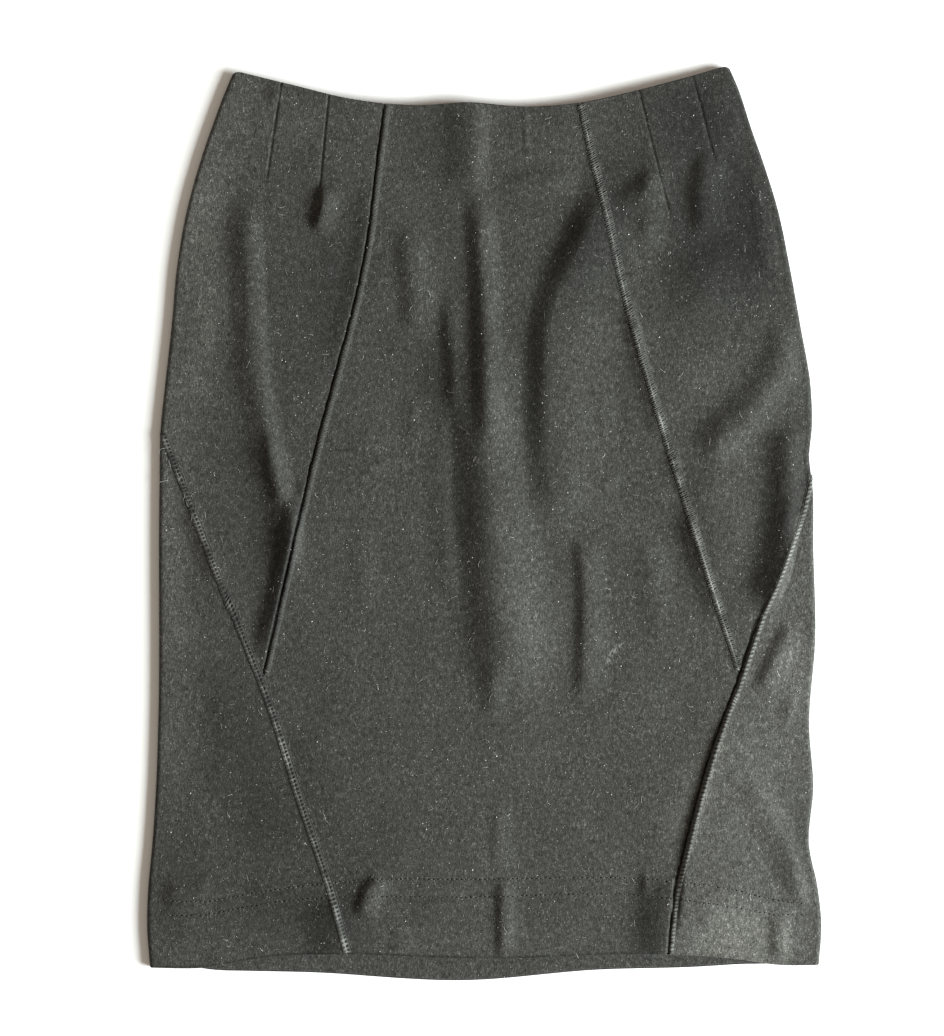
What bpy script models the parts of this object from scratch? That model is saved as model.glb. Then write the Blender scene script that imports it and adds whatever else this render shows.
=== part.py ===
"""A pencil skirt laid flat on its back, with its front up.

X runs across the skirt, Y runs up it from the hem to the waist, and Z runs up off the surface that it
lies on. The origin is on that surface, under the middle of the skirt. Left and right are as seen from
above. Tables and lengths are in millimetres, and a mesh is made in metres.

The skirt is a tube of cloth pressed flat. Each panel is a wall with an outer and an inner face. Its
places are given by two numbers. "across" is the distance out from the middle line along the cloth: on
the side panels it runs on round the fold at the side, and under the skirt to the side seam. "fall" is
the share of the way from the waist edge, 0, to the hem edge, 1. "drop" is the distance in millimetres
below the highest point of the waist.
"""
import math
from collections import namedtuple

import bmesh
import bpy
from mathutils import Matrix, Vector

METRES = 0.001

# Driving sizes
LENGTH = 678.0          # the waist's highest point to the hem's lowest, at the centre back
CLOTH = 1.1             # the cloth's thickness
GAP = 0.3               # between pieces
FOLD_RADIUS = 3.2       # outer radius where the front rolls under at each side
UNDER = 12.0            # how far the front runs on under the skirt, from the fold to the side seam
CROWN = 2.4             # how much the middle of the front stands above its sides
CROWN_RUN = 60.0        # the distance in from a side over which it does
HEM_DEPTH = 58.0        # the turned-up hem
SEAM_BAND = 6.0         # width of a raised seam
SEAM_HEIGHT = 0.5
TIP_WIDTH = 7.0         # a panel's pointed end is cut off where it is this wide
MEET_WIDTH = 13.0        # and the lower side panel starts where it is this wide
DART_DEPTH = 0.7
DART_HALF_WIDTH = 2.5
CENTRE_COLUMNS = 13
BACK_DIP = 3.0          # how far the back's waist edge lies below the front's
CENTRE_BACK_SHIFT = 15.0  # how far the centre back seam lies to the right at the hem

# The zip's slider and pull tab, which lie under the back
ZIP_LENGTH = 200.0
TAPE_WIDTH = 11.0
TAPE_THICKNESS = 0.6
RECESS_LIFT = 4.3       # the back cloth over the slider
RECESS_HALF_WIDTH = 11.5
RECESS_LENGTH = 40.0
SLIDER_BELOW_WAIST = 10.0
SLIDER_SIZE = (6.4, 9.0, 1.4)
ARCH_WIDTH = 1.4
ARCH_LENGTH = 5.4
ARCH_THICKNESS = 0.8
ARCH_HEIGHT = 2.2
PIVOT_HEIGHT = 1.9      # the pull's pivot, above the surface that the skirt lies on
BAR_RADIUS = 0.42
PULL_THICKNESS = 0.8
PULL_HEAD = 4.2
PULL_WIDTH = 6.0
PULL_LENGTH = 22.0
EYE_WIDTH = 2.2
EYE_LENGTH = 3.4

Edge = namedtuple("Edge", "across drop")
Station = namedtuple("Station", "drop out")
Dart = namedtuple("Dart", "start end")
Side = namedtuple("Side", "name sign edge upper_seam lower_seam darts")
Fold = namedtuple("Fold", "height steep_run easy_run crest")

# The front's waist edge and hem edge, from the left to the right
WAIST_EDGE = (
    Edge(-186, 4), Edge(-146, 14), Edge(-95, 26), Edge(-53, 30), Edge(-11, 28),
    Edge(30, 31), Edge(71, 28), Edge(113, 19), Edge(154, 8), Edge(181, 0),
)
HEM_EDGE = (
    Edge(-248, 668), Edge(-205, 668), Edge(-175, 662.5), Edge(0, 661.5), Edge(185, 661.5),
    Edge(218, 666), Edge(248, 666),
)
# How far the back's hem shows below the front's
BACK_HEM_SHOWS = (
    Edge(-212, 0), Edge(-175, 8.5), Edge(-106, 15), Edge(-35, 17), Edge(71, 11.5),
    Edge(160, 8.5), Edge(212, 0),
)

# Each side's outline, seams and darts: distances out from the middle line at each drop. A seam's
# first row is where it has run round the fold at the side to the side seam.
LEFT = Side(
    "left", -1,
    edge=(
        Station(0, 184), Station(16, 191), Station(45, 202), Station(75, 212), Station(104, 220),
        Station(149, 228), Station(193, 232), Station(238, 237), Station(267, 240), Station(312, 241),
        Station(490, 242), Station(534, 243.5), Station(579, 246.5), Station(612, 249.5),
        Station(640, 250.1), Station(668, 248),
    ),
    upper_seam=(
        Station(29, 74.5), Station(87, 82), Station(127, 87), Station(172, 96), Station(229, 111),
        Station(285, 126), Station(367, 145), Station(454, 165),
    ),
    lower_seam=(
        Station(206, 261), Station(265, 239), Station(307, 223), Station(365, 201), Station(419, 180.5),
        Station(477, 158), Station(542, 137.5), Station(620, 111.5), Station(661, 100.5),
    ),
    darts=(Dart(Station(24, 116), Station(110, 124)), Dart(Station(15, 151), Station(81, 161))),
)
RIGHT = Side(
    "right", 1,
    edge=(
        Station(0, 181), Station(16, 188), Station(45, 197.5), Station(75, 208), Station(104, 217),
        Station(149, 226.5), Station(193, 234.5), Station(238, 242), Station(267, 243), Station(290, 241),
        Station(312, 243.5), Station(356, 244), Station(423, 245.5), Station(490, 241), Station(534, 244),
        Station(579, 241), Station(608, 247), Station(638, 250), Station(667, 248),
    ),
    upper_seam=(
        Station(29, 71.5), Station(67, 80), Station(99, 88), Station(167, 103.5), Station(217, 117),
        Station(317, 147), Station(406, 175), Station(445, 188.5),
    ),
    lower_seam=(
        Station(238, 264), Station(300, 240), Station(333, 232), Station(366, 219.5), Station(410, 202),
        Station(445, 190.5), Station(512, 166.5), Station(576, 149), Station(611, 140.5),
        Station(660, 135),
    ),
    darts=(Dart(Station(18, 114.5), Station(107, 136.5)), Dart(Station(9, 155), Station(70, 171))),
)

# The largest folds: each is a ridge, steep on its left and easier on its right, with the points that
# its crest runs through from top to bottom
FOLDS = (
    Fold(4.2, 26, 42, (Edge(0, 100), Edge(4, 198), Edge(5, 294), Edge(1, 400), Edge(8, 482))),
    Fold(3.0, 15, 42, (Edge(88, 94), Edge(71, 147), Edge(49, 178), Edge(44, 250), Edge(42, 318))),
    Fold(2.6, 22, 16, (Edge(-169, 200), Edge(-164, 250), Edge(-155, 302), Edge(-147, 372))),
    Fold(2.4, 24, 12, (Edge(222, 266), Edge(220, 320), Edge(212, 374), Edge(200, 410))),
    Fold(2.0, 16, 26, (Edge(168, 72), Edge(163, 122))),
    Fold(1.6, 15, 20, (Edge(225, 198), Edge(205, 242), Edge(160, 290))),
)
FOLD_END_RUN = 45.0     # the length over which a fold dies out at each end
FOLD_EDGE_RUN = 14.0    # and the distance from the side over which it does


def smooth_curve(points):
    """A smooth function through (place, value) points, straight beyond its ends."""
    places = [float(point[0]) for point in points]
    values = [float(point[1]) for point in points]
    last = len(places) - 1
    chords = [(values[i + 1] - values[i]) / (places[i + 1] - places[i]) for i in range(last)]
    slopes = [chords[0]]
    for i in range(1, last):
        before = places[i] - places[i - 1]
        after = places[i + 1] - places[i]
        slopes.append((chords[i - 1] * after + chords[i] * before) / (before + after))
    slopes.append(chords[-1])

    def value_at(place):
        if place <= places[0]:
            return values[0] + slopes[0] * (place - places[0])
        if place >= places[-1]:
            return values[-1] + slopes[-1] * (place - places[-1])
        i = max(k for k in range(last) if places[k] <= place)
        span = places[i + 1] - places[i]
        t = (place - places[i]) / span
        return (
            values[i] * (2 * t**3 - 3 * t**2 + 1)
            + span * slopes[i] * (t**3 - 2 * t**2 + t)
            + values[i + 1] * (3 * t**2 - 2 * t**3)
            + span * slopes[i + 1] * (t**3 - t**2)
        )

    return value_at


def soft(share):
    """0 below 0, 1 above 1, and a smooth step between."""
    share = min(max(share, 0.0), 1.0)
    return share * share * (3 - 2 * share)


def solve(function, low, high):
    """Where a rising function crosses 0."""
    for _ in range(50):
        middle = (low + high) / 2
        if function(middle) < 0:
            low = middle
        else:
            high = middle
    return high


front_waist = smooth_curve(WAIST_EDGE)
front_hem = smooth_curve(HEM_EDGE)
back_hem_shows = smooth_curve(BACK_HEM_SHOWS)
edge_curves = {side.sign: smooth_curve(side.edge) for side in (LEFT, RIGHT)}


def front_drop(x, fall):
    return front_waist(x) * (1 - fall) + front_hem(x) * fall


def back_waist(x):
    """The back's waist edge, which meets the front's at the sides and dips below it between them."""
    return front_waist(x) + BACK_DIP * soft((170 - abs(x)) / 60)


def back_drop(x, fall):
    shows = back_hem_shows(x) if abs(x) < BACK_HEM_SHOWS[-1].across else 0.0
    return back_waist(x) * (1 - fall) + (front_hem(x) + shows) * fall


def side_drop(side, across, fall):
    """The drop of a place on a side panel. Beyond the fold it is the drop at the fold."""
    drop = LENGTH * fall
    for _ in range(6):
        drop = front_drop(side.sign * min(across, edge_curves[side.sign](drop)), fall)
    return drop


def fold_start(side, drop):
    """Where the top of a side ends and the roll under begins."""
    return edge_curves[side.sign](drop) - FOLD_RADIUS


def roll():
    """The length of the roll, measured in the middle of the cloth."""
    return math.pi * (FOLD_RADIUS - CLOTH / 2)


def crest_line(fold):
    """The fold's crest as short straight steps, with the length run at each."""
    down = smooth_curve([(i, point.drop) for i, point in enumerate(fold.crest)])
    over = smooth_curve([(i, point.across) for i, point in enumerate(fold.crest)])
    steps = 6 * (len(fold.crest) - 1)
    points = [Vector((over(i / 6), down(i / 6))) for i in range(steps + 1)]
    run = [0.0]
    for before, after in zip(points, points[1:]):
        run.append(run[-1] + (after - before).length)
    return points, run


crest_lines = [crest_line(fold) for fold in FOLDS]


def fold_height(fold, line, x, drop):
    """The ridge's height at a place, from its signed distance to the crest."""
    points, run = line
    place = Vector((x, drop))
    best = None
    for i, (before, after) in enumerate(zip(points, points[1:])):
        along = after - before
        share = min(max((place - before).dot(along) / along.length_squared, 0.0), 1.0)
        offset = place - before - along * share
        if best is None or offset.length < best[0]:
            # The crest runs down, so its left is where this is negative
            left = along.x * offset.y - along.y * offset.x > 0
            best = (offset.length, left, run[i] + along.length * share)
    distance, left, length = best
    width = fold.steep_run if left else fold.easy_run
    ends = soft(length / FOLD_END_RUN) * soft((run[-1] - length) / FOLD_END_RUN)
    return fold.height * soft(1 - distance / width) * ends


def dart_groove(side, x, drop):
    """The shallow groove along each dart's stitching."""
    depth = 0.0
    for dart in side.darts:
        share = (drop - dart.start.drop) / (dart.end.drop - dart.start.drop)
        if share < 1.15:
            line = dart.start.out + (dart.end.out - dart.start.out) * share
            across = soft(1 - abs(x * side.sign - line) / DART_HALF_WIDTH)
            depth += DART_DEPTH * across * soft((1.15 - share) / 0.15)
    return depth


def front_rise(x, drop):
    """How far the front's outer face stands above the height that it has at its sides."""
    from_left = x + fold_start(LEFT, drop)
    from_right = fold_start(RIGHT, drop) - x
    crown = CROWN * soft(from_left / CROWN_RUN) * soft(from_right / CROWN_RUN)
    ridges = sum(fold_height(fold, line, x, drop) for fold, line in zip(FOLDS, crest_lines))
    near_side = soft(min(from_left, from_right) / FOLD_EDGE_RUN)
    darts = dart_groove(LEFT if x < 0 else RIGHT, x, drop)
    return crown + (ridges - darts) * near_side


def placed(x, drop, z):
    """A point in metres."""
    return Vector((x, LENGTH / 2 - drop, z)) * METRES


def on_top(x, drop, depth):
    """A point of the front's top, at a depth below its outer face."""
    step = 1.0
    rise = front_rise(x, drop)
    normal = Vector((
        front_rise(x - step, drop) - front_rise(x + step, drop),
        front_rise(x, drop + step) - front_rise(x, drop - step),
        2 * step,
    )).normalized()
    height = 2 * FOLD_RADIUS + rise
    return placed(x - normal.x * depth, drop + normal.y * depth, height - normal.z * depth)


def side_point(side, across, fall, depth):
    """A point of a side panel: on top, round the fold, or under the skirt."""
    drop = side_drop(side, across, fall)
    start = fold_start(side, drop)
    if across <= start:
        return on_top(side.sign * across, drop, depth)
    turn = (across - start) / (FOLD_RADIUS - CLOTH / 2)
    if turn <= math.pi:
        radius = FOLD_RADIUS - depth
        out = start + radius * math.sin(turn)
        return placed(side.sign * out, drop, FOLD_RADIUS + radius * math.cos(turn))
    return placed(side.sign * (start - (across - start - roll())), drop, depth)


def centre_back(fall):
    """The centre back seam."""
    return CENTRE_BACK_SHIFT * soft((fall - 0.35) / 0.65)


def recess(x, drop):
    """How far the back is lifted off the surface, over the zip's slider and pull."""
    sideways = soft((38 - abs(x)) / (38 - RECESS_HALF_WIDTH))
    downwards = soft((2 * RECESS_LENGTH - (drop - back_waist(0))) / RECESS_LENGTH)
    return RECESS_LIFT * sideways * downwards


def back_point(x, fall, depth):
    """A point of the back, at a depth above its outer face."""
    drop = back_drop(x, fall)
    return placed(x, drop, recess(x, drop) + depth)


def seam_in_fall(side, table):
    """A seam's distance out as a function of the fall."""
    points = []
    for row in table:
        x = side.sign * min(row.out, edge_curves[side.sign](row.drop))
        fall = (row.drop - front_waist(x)) / (front_hem(x) - front_waist(x))
        points.append((fall, row.out))
    return smooth_curve(points)


upper_seams = {side.sign: seam_in_fall(side, side.upper_seam) for side in (LEFT, RIGHT)}
lower_seams = {side.sign: seam_in_fall(side, side.lower_seam) for side in (LEFT, RIGHT)}


def side_seam(side, fall):
    """The side seam's distance out along the cloth."""
    return fold_start(side, side_drop(side, LENGTH, fall)) + roll() + UNDER


def tip_fall(side):
    """Where the upper side panel has narrowed to TIP_WIDTH."""
    return solve(
        lambda fall: TIP_WIDTH - (lower_seams[side.sign](fall) - upper_seams[side.sign](fall)), 0.4, 0.9
    )


def meet_fall(side):
    """Where the lower side panel, which starts at the side seam, is MEET_WIDTH wide."""
    return solve(lambda fall: side_seam(side, fall) - lower_seams[side.sign](fall) - MEET_WIDTH, 0.1, 0.6)


def row_falls():
    """The rows that every panel shares, so that their edges keep the same gap all along."""
    fixed = [0.0, 0.02, 0.04, 0.065, 0.09, 0.12, 1 - HEM_DEPTH / (LENGTH - 30), 1.0]
    for side in (LEFT, RIGHT):
        tip = tip_fall(side)
        fixed += [meet_fall(side), tip, tip + 0.001]
    # Closer rows where the lower seams run round the folds at the sides
    close = [0.285 + 0.018 * i for i in range(9)]
    even = [0.16 + 0.05 * i for i in range(17)]
    rows = list(fixed)
    for fall in close + even:
        if min(abs(fall - row) for row in rows) > 0.012:
            rows.append(fall)
    return sorted(rows)


def held_apart(places, inner, outer):
    """Places along a row, moved in between its ends where they lie beyond one."""
    step = (outer - inner) / (4 * len(places))
    last = len(places) - 1
    return [
        max(min(place, outer - step * (last - k)), inner + step * k) for k, place in enumerate(places)
    ]


def roll_columns(side, fall):
    """Places round the fold and on to the side seam."""
    start = fold_start(side, side_drop(side, LENGTH, fall))
    return [start - 10] + [start + roll() * k / 4 for k in range(5)] + [start + roll() + UNDER]


def dart_share(side, dart, fall, inner, start):
    """A dart's share of the way across the panel: below its end it keeps the one that it ends at."""
    end_x = side.sign * dart.end.out
    end_fall = (dart.end.drop - front_waist(end_x)) / (front_hem(end_x) - front_waist(end_x))
    fall = min(fall, end_fall)
    drop = side_drop(side, dart.end.out, fall)
    along = (drop - dart.start.drop) / (dart.end.drop - dart.start.drop)
    out = dart.start.out + (dart.end.out - dart.start.out) * along
    return (out - inner(fall)) / (start(fall) - inner(fall))


def upper_side_columns(side, fall):
    inner_seam = upper_seams[side.sign]
    wrapped = roll_columns(side, fall)

    def start_at(at_fall):
        return fold_start(side, side_drop(side, LENGTH, at_fall))

    width = start_at(fall) - inner_seam(fall)
    near, far = (
        inner_seam(fall) + width * dart_share(side, dart, fall, inner_seam, start_at)
        for dart in side.darts
    )
    half = min(DART_HALF_WIDTH, 0.04 * width)
    inner = inner_seam(fall) + GAP / 2
    outer = min(side_seam(side, fall), lower_seams[side.sign](fall) - GAP / 2)
    places = [inner, inner + SEAM_BAND / 2 + GAP, near - half, near, near + half, (near + far) / 2]
    return held_apart(places + [far - half, far, far + half] + wrapped, inner, outer)


def lower_side_columns(side, fall):
    inner = lower_seams[side.sign](fall) + GAP / 2
    wrapped = roll_columns(side, fall)
    from_place = min(inner, wrapped[0] - 20)
    between = [from_place + (wrapped[0] - from_place) * share for share in (0.25, 0.5, 0.75)]
    places = [inner, inner + SEAM_BAND / 2 + GAP] + between + wrapped
    return held_apart(places, inner, side_seam(side, fall))


def centre_columns(fall):
    ends = []
    for side in (LEFT, RIGHT):
        seam = upper_seams if fall <= tip_fall(side) + 1e-6 else lower_seams
        ends.append(side.sign * (seam[side.sign](fall) - GAP / 2))
    left, right = ends
    band = SEAM_BAND / 2 + GAP
    inside = [
        left + band + (right - left - 2 * band) * i / (CENTRE_COLUMNS - 1) for i in range(CENTRE_COLUMNS)
    ]
    return [left] + inside + [right]


def centre_point(x, fall, depth):
    return on_top(x, front_drop(x, fall), depth)


def back_columns(side, fall):
    """From the centre back seam out to the side seam."""
    seam = centre_back(fall)
    start = fold_start(side, side_drop(side, LENGTH, fall))
    outer = side.sign * (start - UNDER - GAP)
    near = [seam + side.sign * out for out in (GAP / 2, RECESS_HALF_WIDTH, 22, 38)]
    return near + [(near[-1] + outer) / 2, outer]


def grid_wall(name, material, outer, inner):
    """One closed wall between two grids of points with the same rows and columns."""
    rows = len(outer)
    columns = len(outer[0])
    mesh = bpy.data.meshes.new(name)
    build = bmesh.new()
    faces = [[[build.verts.new(point) for point in row] for row in grid] for grid in (outer, inner)]
    top, bottom = faces
    for i in range(rows - 1):
        for j in range(columns - 1):
            for grid in (top, bottom):
                a, b = grid[i][j], grid[i][j + 1]
                c, d = grid[i + 1][j + 1], grid[i + 1][j]
                build.faces.new((a, b, c))
                build.faces.new((a, c, d))
    rim = [(i, 0) for i in range(rows)]
    rim += [(rows - 1, j) for j in range(1, columns)]
    rim += [(i, columns - 1) for i in range(rows - 2, -1, -1)]
    rim += [(0, j) for j in range(columns - 2, 0, -1)]
    for (i, j), (k, m) in zip(rim, rim[1:] + rim[:1]):
        build.faces.new((top[i][j], top[k][m], bottom[k][m]))
        build.faces.new((top[i][j], bottom[k][m], bottom[i][j]))
    bmesh.ops.recalc_face_normals(build, faces=build.faces)
    build.to_mesh(mesh)
    build.free()
    mesh.shade_smooth()
    mesh.set_sharp_from_angle(angle=math.radians(40))
    return finished(name, mesh, material)


def finished(name, mesh, material):
    mesh.materials.append(material)
    piece = bpy.data.objects.new(name, mesh)
    bpy.context.collection.objects.link(piece)
    return piece


def wall(name, material, rows, columns_at, point_at, depths):
    """A wall whose faces lie at two depths from a surface, with a row of places at each fall."""
    grids = [
        [[point_at(place, fall, depth) for place in columns_at(fall)] for fall in rows] for depth in depths
    ]
    return grid_wall(name, material, *grids)


def cloth_material(name, colour, roughness=0.95, metallic=0.0):
    material = bpy.data.materials.new(name)
    material.use_nodes = True
    shader = material.node_tree.nodes["Principled BSDF"]
    shader.inputs["Base Color"].default_value = (*colour, 1.0)
    shader.inputs["Roughness"].default_value = roughness
    shader.inputs["Metallic"].default_value = metallic
    return material


def front_panels(rows, cloth):
    wall("front_centre_panel", cloth, rows, centre_columns, centre_point, (0, CLOTH))
    for side in (LEFT, RIGHT):
        tip = tip_fall(side) + 1e-6
        meet = meet_fall(side) - 1e-6

        def place(across, fall, depth, side=side):
            return side_point(side, across, fall, depth)

        def upper(fall, side=side):
            return upper_side_columns(side, fall)

        def lower(fall, side=side):
            return lower_side_columns(side, fall)

        above = [fall for fall in rows if fall <= tip]
        below = [fall for fall in rows if fall >= meet]
        wall(f"front_upper_side_panel_{side.name}", cloth, above, upper, place, (0, CLOTH))
        wall(f"front_lower_side_panel_{side.name}", cloth, below, lower, place, (0, CLOTH))


def seam_ridges(rows, thread):
    """The raised seams, which lie along the joins between the front's panels."""
    faces = (-GAP, -GAP - SEAM_HEIGHT)
    for side in (LEFT, RIGHT):
        tip = tip_fall(side) + 1e-6

        def place(across, fall, depth, side=side):
            return side_point(side, across, fall, depth)

        def band(fall, seams, side=side):
            seam = seams[side.sign](fall)
            return [seam - SEAM_BAND / 2, seam, seam + SEAM_BAND / 2]

        def on_the_top(fall, side=side):
            edge = fold_start(side, side_drop(side, LENGTH, fall))
            return lower_seams[side.sign](fall) + SEAM_BAND / 2 < edge

        above = [fall for fall in rows if fall <= tip]
        below = [fall for fall in rows if on_the_top(fall)]
        name = f"front_upper_seam_{side.name}"
        wall(name, thread, above, lambda fall: band(fall, upper_seams), place, faces)
        name = f"front_lower_seam_{side.name}"
        wall(name, thread, below, lambda fall: band(fall, lower_seams), place, faces)


def front_turn_up_columns(fall):
    """The front's own columns, from the roll at one side to the roll at the other."""
    sides = []
    for side in (LEFT, RIGHT):
        start = fold_start(side, side_drop(side, LENGTH, fall))
        places = [place for place in lower_side_columns(side, fall) if place < start - 5]
        sides.append([side.sign * place for place in places])
    return sides[0][::-1] + centre_columns(fall)[1:-1] + sides[1]


def back_turn_up_columns(fall):
    left = back_columns(LEFT, fall)
    right = back_columns(RIGHT, fall)
    inset = UNDER - 2
    return [left[-1] - inset] + left[-2:0:-1] + right[1:-1] + [right[-1] + inset]


def back_panels(rows, cloth):
    for side in (LEFT, RIGHT):
        wall(
            f"back_panel_{side.name}", cloth, rows,
            lambda fall, side=side: back_columns(side, fall), back_point, (0, CLOTH),
        )


def hem_turn_ups(rows, cloth):
    """The cloth turned up inside the hem, on the inner face of the front and of the back."""
    turned = [fall for fall in rows if fall > 1 - HEM_DEPTH / (LENGTH - 30) - 1e-6]
    depths = (CLOTH + GAP, 2 * CLOTH + GAP)
    wall("front_hem_turn_up", cloth, turned, front_turn_up_columns, centre_point, depths)
    wall("back_hem_turn_up", cloth, turned, back_turn_up_columns, back_point, depths)


def box(name, size, middle):
    """A box of a size in millimetres about its middle."""
    mesh = bpy.data.meshes.new(name)
    build = bmesh.new()
    bmesh.ops.create_cube(build, size=1.0)
    scale = Matrix.Diagonal((*(Vector(size) * METRES), 1.0))
    place = Matrix.Translation(Vector(middle) * METRES)
    bmesh.ops.transform(build, matrix=place @ scale, verts=build.verts)
    build.to_mesh(mesh)
    build.free()
    return mesh


def extruded(name, outline, thickness):
    """A plate in the XY plane, about Z 0, from its outline in millimetres."""
    mesh = bpy.data.meshes.new(name)
    build = bmesh.new()
    low = [build.verts.new(Vector((x, y, -thickness / 2)) * METRES) for x, y in outline]
    face = build.faces.new(low)
    made = bmesh.ops.extrude_face_region(build, geom=[face])["geom"]
    moved = [part for part in made if isinstance(part, bmesh.types.BMVert)]
    bmesh.ops.translate(build, vec=Vector((0, 0, thickness)) * METRES, verts=moved)
    bmesh.ops.recalc_face_normals(build, faces=build.faces)
    build.to_mesh(mesh)
    build.free()
    return mesh


def helper(name, mesh, parent):
    """A hidden shape for a Boolean."""
    shape = bpy.data.objects.new(name, mesh)
    bpy.context.collection.objects.link(shape)
    shape.parent = parent
    shape.hide_render = True
    shape.display_type = "WIRE"
    return shape


def combine(piece, other, operation):
    modifier = piece.modifiers.new(operation.title(), "BOOLEAN")
    modifier.operation = operation
    modifier.solver = "EXACT"
    modifier.object = other


def zip_tapes(rows, tape):
    """The two tapes inside the back, on either side of the centre back seam."""
    end = ZIP_LENGTH / LENGTH
    lengths = [fall for fall in rows if 0.01 < fall < end]
    depths = (CLOTH + GAP, CLOTH + GAP + TAPE_THICKNESS)
    for side in (LEFT, RIGHT):
        wall(
            f"back_zip_tape_{side.name}", tape, lengths,
            lambda fall, side=side: [centre_back(fall) + side.sign * out for out in (0.5, TAPE_WIDTH)],
            back_point, depths,
        )


def zip_slider(metal):
    """The slider, with the arch on its face that holds the pull."""
    width, length, thickness = SLIDER_SIZE
    y = LENGTH / 2 - back_waist(0) - SLIDER_BELOW_WAIST
    face = RECESS_LIFT - GAP - thickness
    slider = finished("back_zip_slider", box("back_zip_slider", SLIDER_SIZE, (0, 0, 0)), metal)
    slider.location = Vector((0, y, face + thickness / 2)) * METRES
    overlap = 0.4
    arch_middle = -thickness / 2 + (overlap - ARCH_HEIGHT) / 2
    arch_size = (ARCH_WIDTH, ARCH_LENGTH, ARCH_HEIGHT + overlap)
    arch = helper("slider_arch", box("slider_arch", arch_size, (0, 0, arch_middle)), slider)
    hole_height = ARCH_HEIGHT - ARCH_THICKNESS
    hole_size = (2 * ARCH_WIDTH, ARCH_LENGTH - 2 * ARCH_THICKNESS, hole_height)
    hole = helper("arch_hole", box("arch_hole", hole_size, (0, 0, -(thickness + hole_height) / 2)), slider)
    combine(slider, arch, "UNION")
    combine(slider, hole, "DIFFERENCE")
    return y


def zip_pull(metal, y):
    """The pull tab. Its origin is on the pivot, and it lies along the zip at rest."""
    head = PULL_HEAD / 2
    half = PULL_WIDTH / 2
    end = [
        (half * math.cos(turn), -(PULL_LENGTH - half) - half * math.sin(turn))
        for turn in (math.pi * i / 8 for i in range(9))
    ]
    outline = [(head, 0), (head, -5)] + end + [(-head, -5), (-head, 0)]
    pull = finished("back_zip_pull", extruded("back_zip_pull", outline, PULL_THICKNESS), metal)
    pull.location = Vector((0, y, PIVOT_HEIGHT)) * METRES
    eye_size = (EYE_WIDTH, EYE_LENGTH + 1, 2 * PULL_THICKNESS)
    eye = helper("pull_eye", box("pull_eye", eye_size, (0, (1 - EYE_LENGTH) / 2, 0)), pull)
    bar_mesh = bpy.data.meshes.new("pull_bar")
    build = bmesh.new()
    bmesh.ops.create_cone(
        build, cap_ends=True, segments=16, radius1=BAR_RADIUS * METRES, radius2=BAR_RADIUS * METRES,
        depth=PULL_HEAD * METRES, matrix=Matrix.Rotation(math.pi / 2, 4, "Y"),
    )
    build.to_mesh(bar_mesh)
    build.free()
    bar = helper("pull_bar", bar_mesh, pull)
    combine(pull, eye, "DIFFERENCE")
    combine(pull, bar, "UNION")


def main():
    for item in list(bpy.data.objects):
        bpy.data.objects.remove(item)
    cloth = cloth_material("charcoal_cloth", (0.080, 0.079, 0.070))
    thread = cloth_material("seam_thread", (0.095, 0.092, 0.080))
    tape = cloth_material("zip_tape", (0.030, 0.030, 0.030))
    metal = cloth_material("dark_metal", (0.050, 0.050, 0.052), roughness=0.35, metallic=1.0)
    rows = row_falls()
    front_panels(rows, cloth)
    seam_ridges(rows, thread)
    back_panels(rows, cloth)
    hem_turn_ups(rows, cloth)
    zip_tapes(rows, tape)
    pivot_y = zip_slider(metal)
    zip_pull(metal, pivot_y)


main()
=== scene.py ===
"""The looks of the pencil skirt that lies flat on its back, front up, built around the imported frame.

X runs across the skirt, Y runs up it from the hem to the waist, and Z runs up off the surface that it
lies on. Tables and lengths are in millimetres. "across" is the distance out from the middle line along
the cloth, "fall" is the share of the way from the waist edge, 0, to the hem edge, 1, and "drop" is the
distance below the highest point of the waist.
"""

import math
from collections import namedtuple

import bpy
import numpy as np
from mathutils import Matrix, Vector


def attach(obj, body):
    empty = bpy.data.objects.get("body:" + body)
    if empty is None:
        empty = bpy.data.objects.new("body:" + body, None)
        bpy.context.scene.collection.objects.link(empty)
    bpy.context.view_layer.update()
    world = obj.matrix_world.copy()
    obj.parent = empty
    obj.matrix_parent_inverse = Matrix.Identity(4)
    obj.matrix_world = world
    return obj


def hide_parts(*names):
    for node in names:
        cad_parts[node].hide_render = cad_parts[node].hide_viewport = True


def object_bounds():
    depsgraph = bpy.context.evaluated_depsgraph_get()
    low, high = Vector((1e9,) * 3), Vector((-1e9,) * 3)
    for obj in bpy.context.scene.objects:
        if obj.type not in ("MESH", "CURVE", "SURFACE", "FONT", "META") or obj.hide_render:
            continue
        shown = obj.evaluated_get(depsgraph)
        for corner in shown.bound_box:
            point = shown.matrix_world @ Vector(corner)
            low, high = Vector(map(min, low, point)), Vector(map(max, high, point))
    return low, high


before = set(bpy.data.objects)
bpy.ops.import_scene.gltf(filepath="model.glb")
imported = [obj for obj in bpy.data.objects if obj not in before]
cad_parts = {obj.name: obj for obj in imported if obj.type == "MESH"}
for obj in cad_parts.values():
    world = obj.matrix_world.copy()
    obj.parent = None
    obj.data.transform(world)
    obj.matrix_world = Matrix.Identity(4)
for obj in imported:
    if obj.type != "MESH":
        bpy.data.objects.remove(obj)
cad_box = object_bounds()

METRES = 0.001
LENGTH = (cad_box[1].y - cad_box[0].y) / METRES
BODY = "garment"
PULL_BODY = "zip_pull"

# The cloth, as the solids have it
CLOTH = 1.1
GAP = 0.3
FOLD_RADIUS = 3.2       # outer radius where the front rolls under at each side
UNDER = 12.0            # how far it runs on under the skirt, from the fold to the side seam
CROWN = 2.4
CROWN_RUN = 60.0
HEM_DEPTH = 58.0
BACK_DIP = 3.0
CENTRE_BACK_SHIFT = 15.0
RECESS_LIFT = 4.3       # the back over the zip's slider
RECESS_HALF_WIDTH = 11.5
RECESS_LENGTH = 40.0
ZIP_LENGTH = 200.0
TAPE_WIDTH = 11.0
TAPE_THICKNESS = 0.6

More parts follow.
